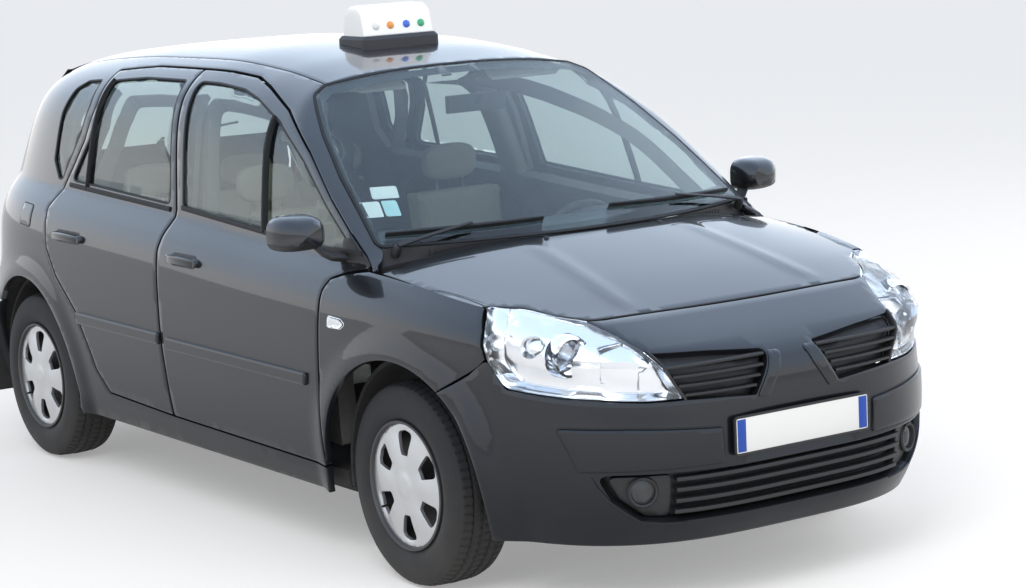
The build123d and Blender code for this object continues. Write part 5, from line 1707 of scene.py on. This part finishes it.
# ---- settings, operators, panel
def colour_prop(name, note, value):
    """colour setting"""
    return bpy.props.FloatVectorProperty(name=name, description=note, default=value, size=3, min=0, max=1,
                                         subtype="COLOR")


def power_prop(name, note, value):
    """lamp power setting"""
    return bpy.props.FloatProperty(name=name, description=note, default=value, min=0, subtype="POWER",
                                   unit="POWER")


def group_prop(group, name, note):
    """setting that holds a group of settings"""
    return bpy.props.PointerProperty(type=group, name=name, description=note)


class TaxiColours(bpy.types.PropertyGroup):
    paint: colour_prop("Paint", "Body colour under the clear coat", (.014, .016, .020))
    glass: colour_prop("Glass", "Tint of the windows", (.62, .70, .68))
    cloth: colour_prop("Cloth", "Seat cloth", (.30, .27, .22))


class TaxiSizes(bpy.types.PropertyGroup):
    shut_gap: bpy.props.FloatProperty(name="Shut gap", description="Gap between closed panels", default=.0055,
                                      min=.003, max=.008, subtype="DISTANCE", unit="LENGTH")


class TaxiLight(bpy.types.PropertyGroup):
    sky: bpy.props.FloatProperty(name="Sky", description="Strength of the surrounding light", default=.62,
                                 min=0, max=3)
    floor: bpy.props.FloatProperty(name="Floor", description="How much paler the floor shows than it is lit",
                                   default=.30, min=0, max=1)
    key: power_prop("Key", "Power of the large soft lamp", 420.0)
    fill: power_prop("Fill", "Power of the lamp on the far side", 220.0)
    front: power_prop("Front", "Power of the lamp ahead", 160.0)


class TaxiSettings(bpy.types.PropertyGroup):
    colours: group_prop(TaxiColours, "Colours", "Colours of the finishes")
    sizes: group_prop(TaxiSizes, "Sizes", "Sizes of the pressed body")
    light: group_prop(TaxiLight, "Light", "Strengths of the lamps")


def step(idname, label, doc, build):
    """operator class that runs one builder on the scene's settings"""
    def execute(self, context):
        build(context.scene.taxi_cab)
        return {"FINISHED"}
    return type("TAXI_OT_" + idname, (bpy.types.Operator,),
                {"bl_idname": "taxi." + idname, "bl_label": label, "__doc__": doc, "execute": execute})


STEPS = [
    step("finishes", "Finishes", "Make the paints, plastics, glass, metals and cloths", make_finishes),
    step("stage", "Stage", "Place the floor, lamps, sky and camera", build_stage),
    step("body", "Body panels", "Press the sides, fenders, doors, bonnet, roof, tailgate and bumpers",
         build_body),
    step("glass", "Glass", "Fit windscreen, side windows, rear window and their seals", build_glass),
    step("wheels", "Wheels", "Fit tyres, discs and covers", build_wheels),
    step("headlamps", "Headlamps", "Fit the headlamps and what shows inside them", build_headlamps),
    step("front", "Front", "Fit grilles, blades, strips, fog lamps and plate", build_front),
    step("side_fittings", "Side fittings", "Fit handles, strips, repeaters, flap and waist seals",
         build_side_fittings),
    step("mirrors", "Mirrors", "Fit the door mirrors", build_mirrors),
    step("cowl", "Cowl and wipers", "Fit the scuttle, wipers and washer jets", build_cowl),
    step("sign", "Roof sign", "Fit the roof sign and its lenses", build_sign),
    step("cabin", "Cabin", "Fit the seats, dash fittings, trims and linings", build_cabin),
    step("tail", "Tail", "Fit tail lamps, rear plate, wiper and handle", build_tail),
]


class TAXI_PT_panel(bpy.types.Panel):
    bl_idname = "TAXI_PT_panel"
    bl_label = "Taxi cab"
    bl_space_type = "VIEW_3D"
    bl_region_type = "UI"
    bl_category = "Taxi cab"

    def draw(self, context):
        s = context.scene.taxi_cab
        for group in (s.colours, s.sizes, s.light):
            box = self.layout.box()
            for key in group.bl_rna.properties.keys():
                if key not in ("rna_type", "name"):
                    box.prop(group, key)
        for op in STEPS:
            self.layout.operator(op.bl_idname)


CLASSES = [TaxiColours, TaxiSizes, TaxiLight, TaxiSettings, *STEPS, TAXI_PT_panel]


def register():
    for c in CLASSES:
        bpy.utils.register_class(c)
    bpy.types.Scene.taxi_cab = bpy.props.PointerProperty(type=TaxiSettings)


def unregister():
    del bpy.types.Scene.taxi_cab
    for c in reversed(CLASSES):
        bpy.utils.unregister_class(c)


def main():
    register()
    for op in STEPS:
        getattr(bpy.ops.taxi, op.bl_idname.split(".")[1])()


if __name__ == "__main__":
    main()
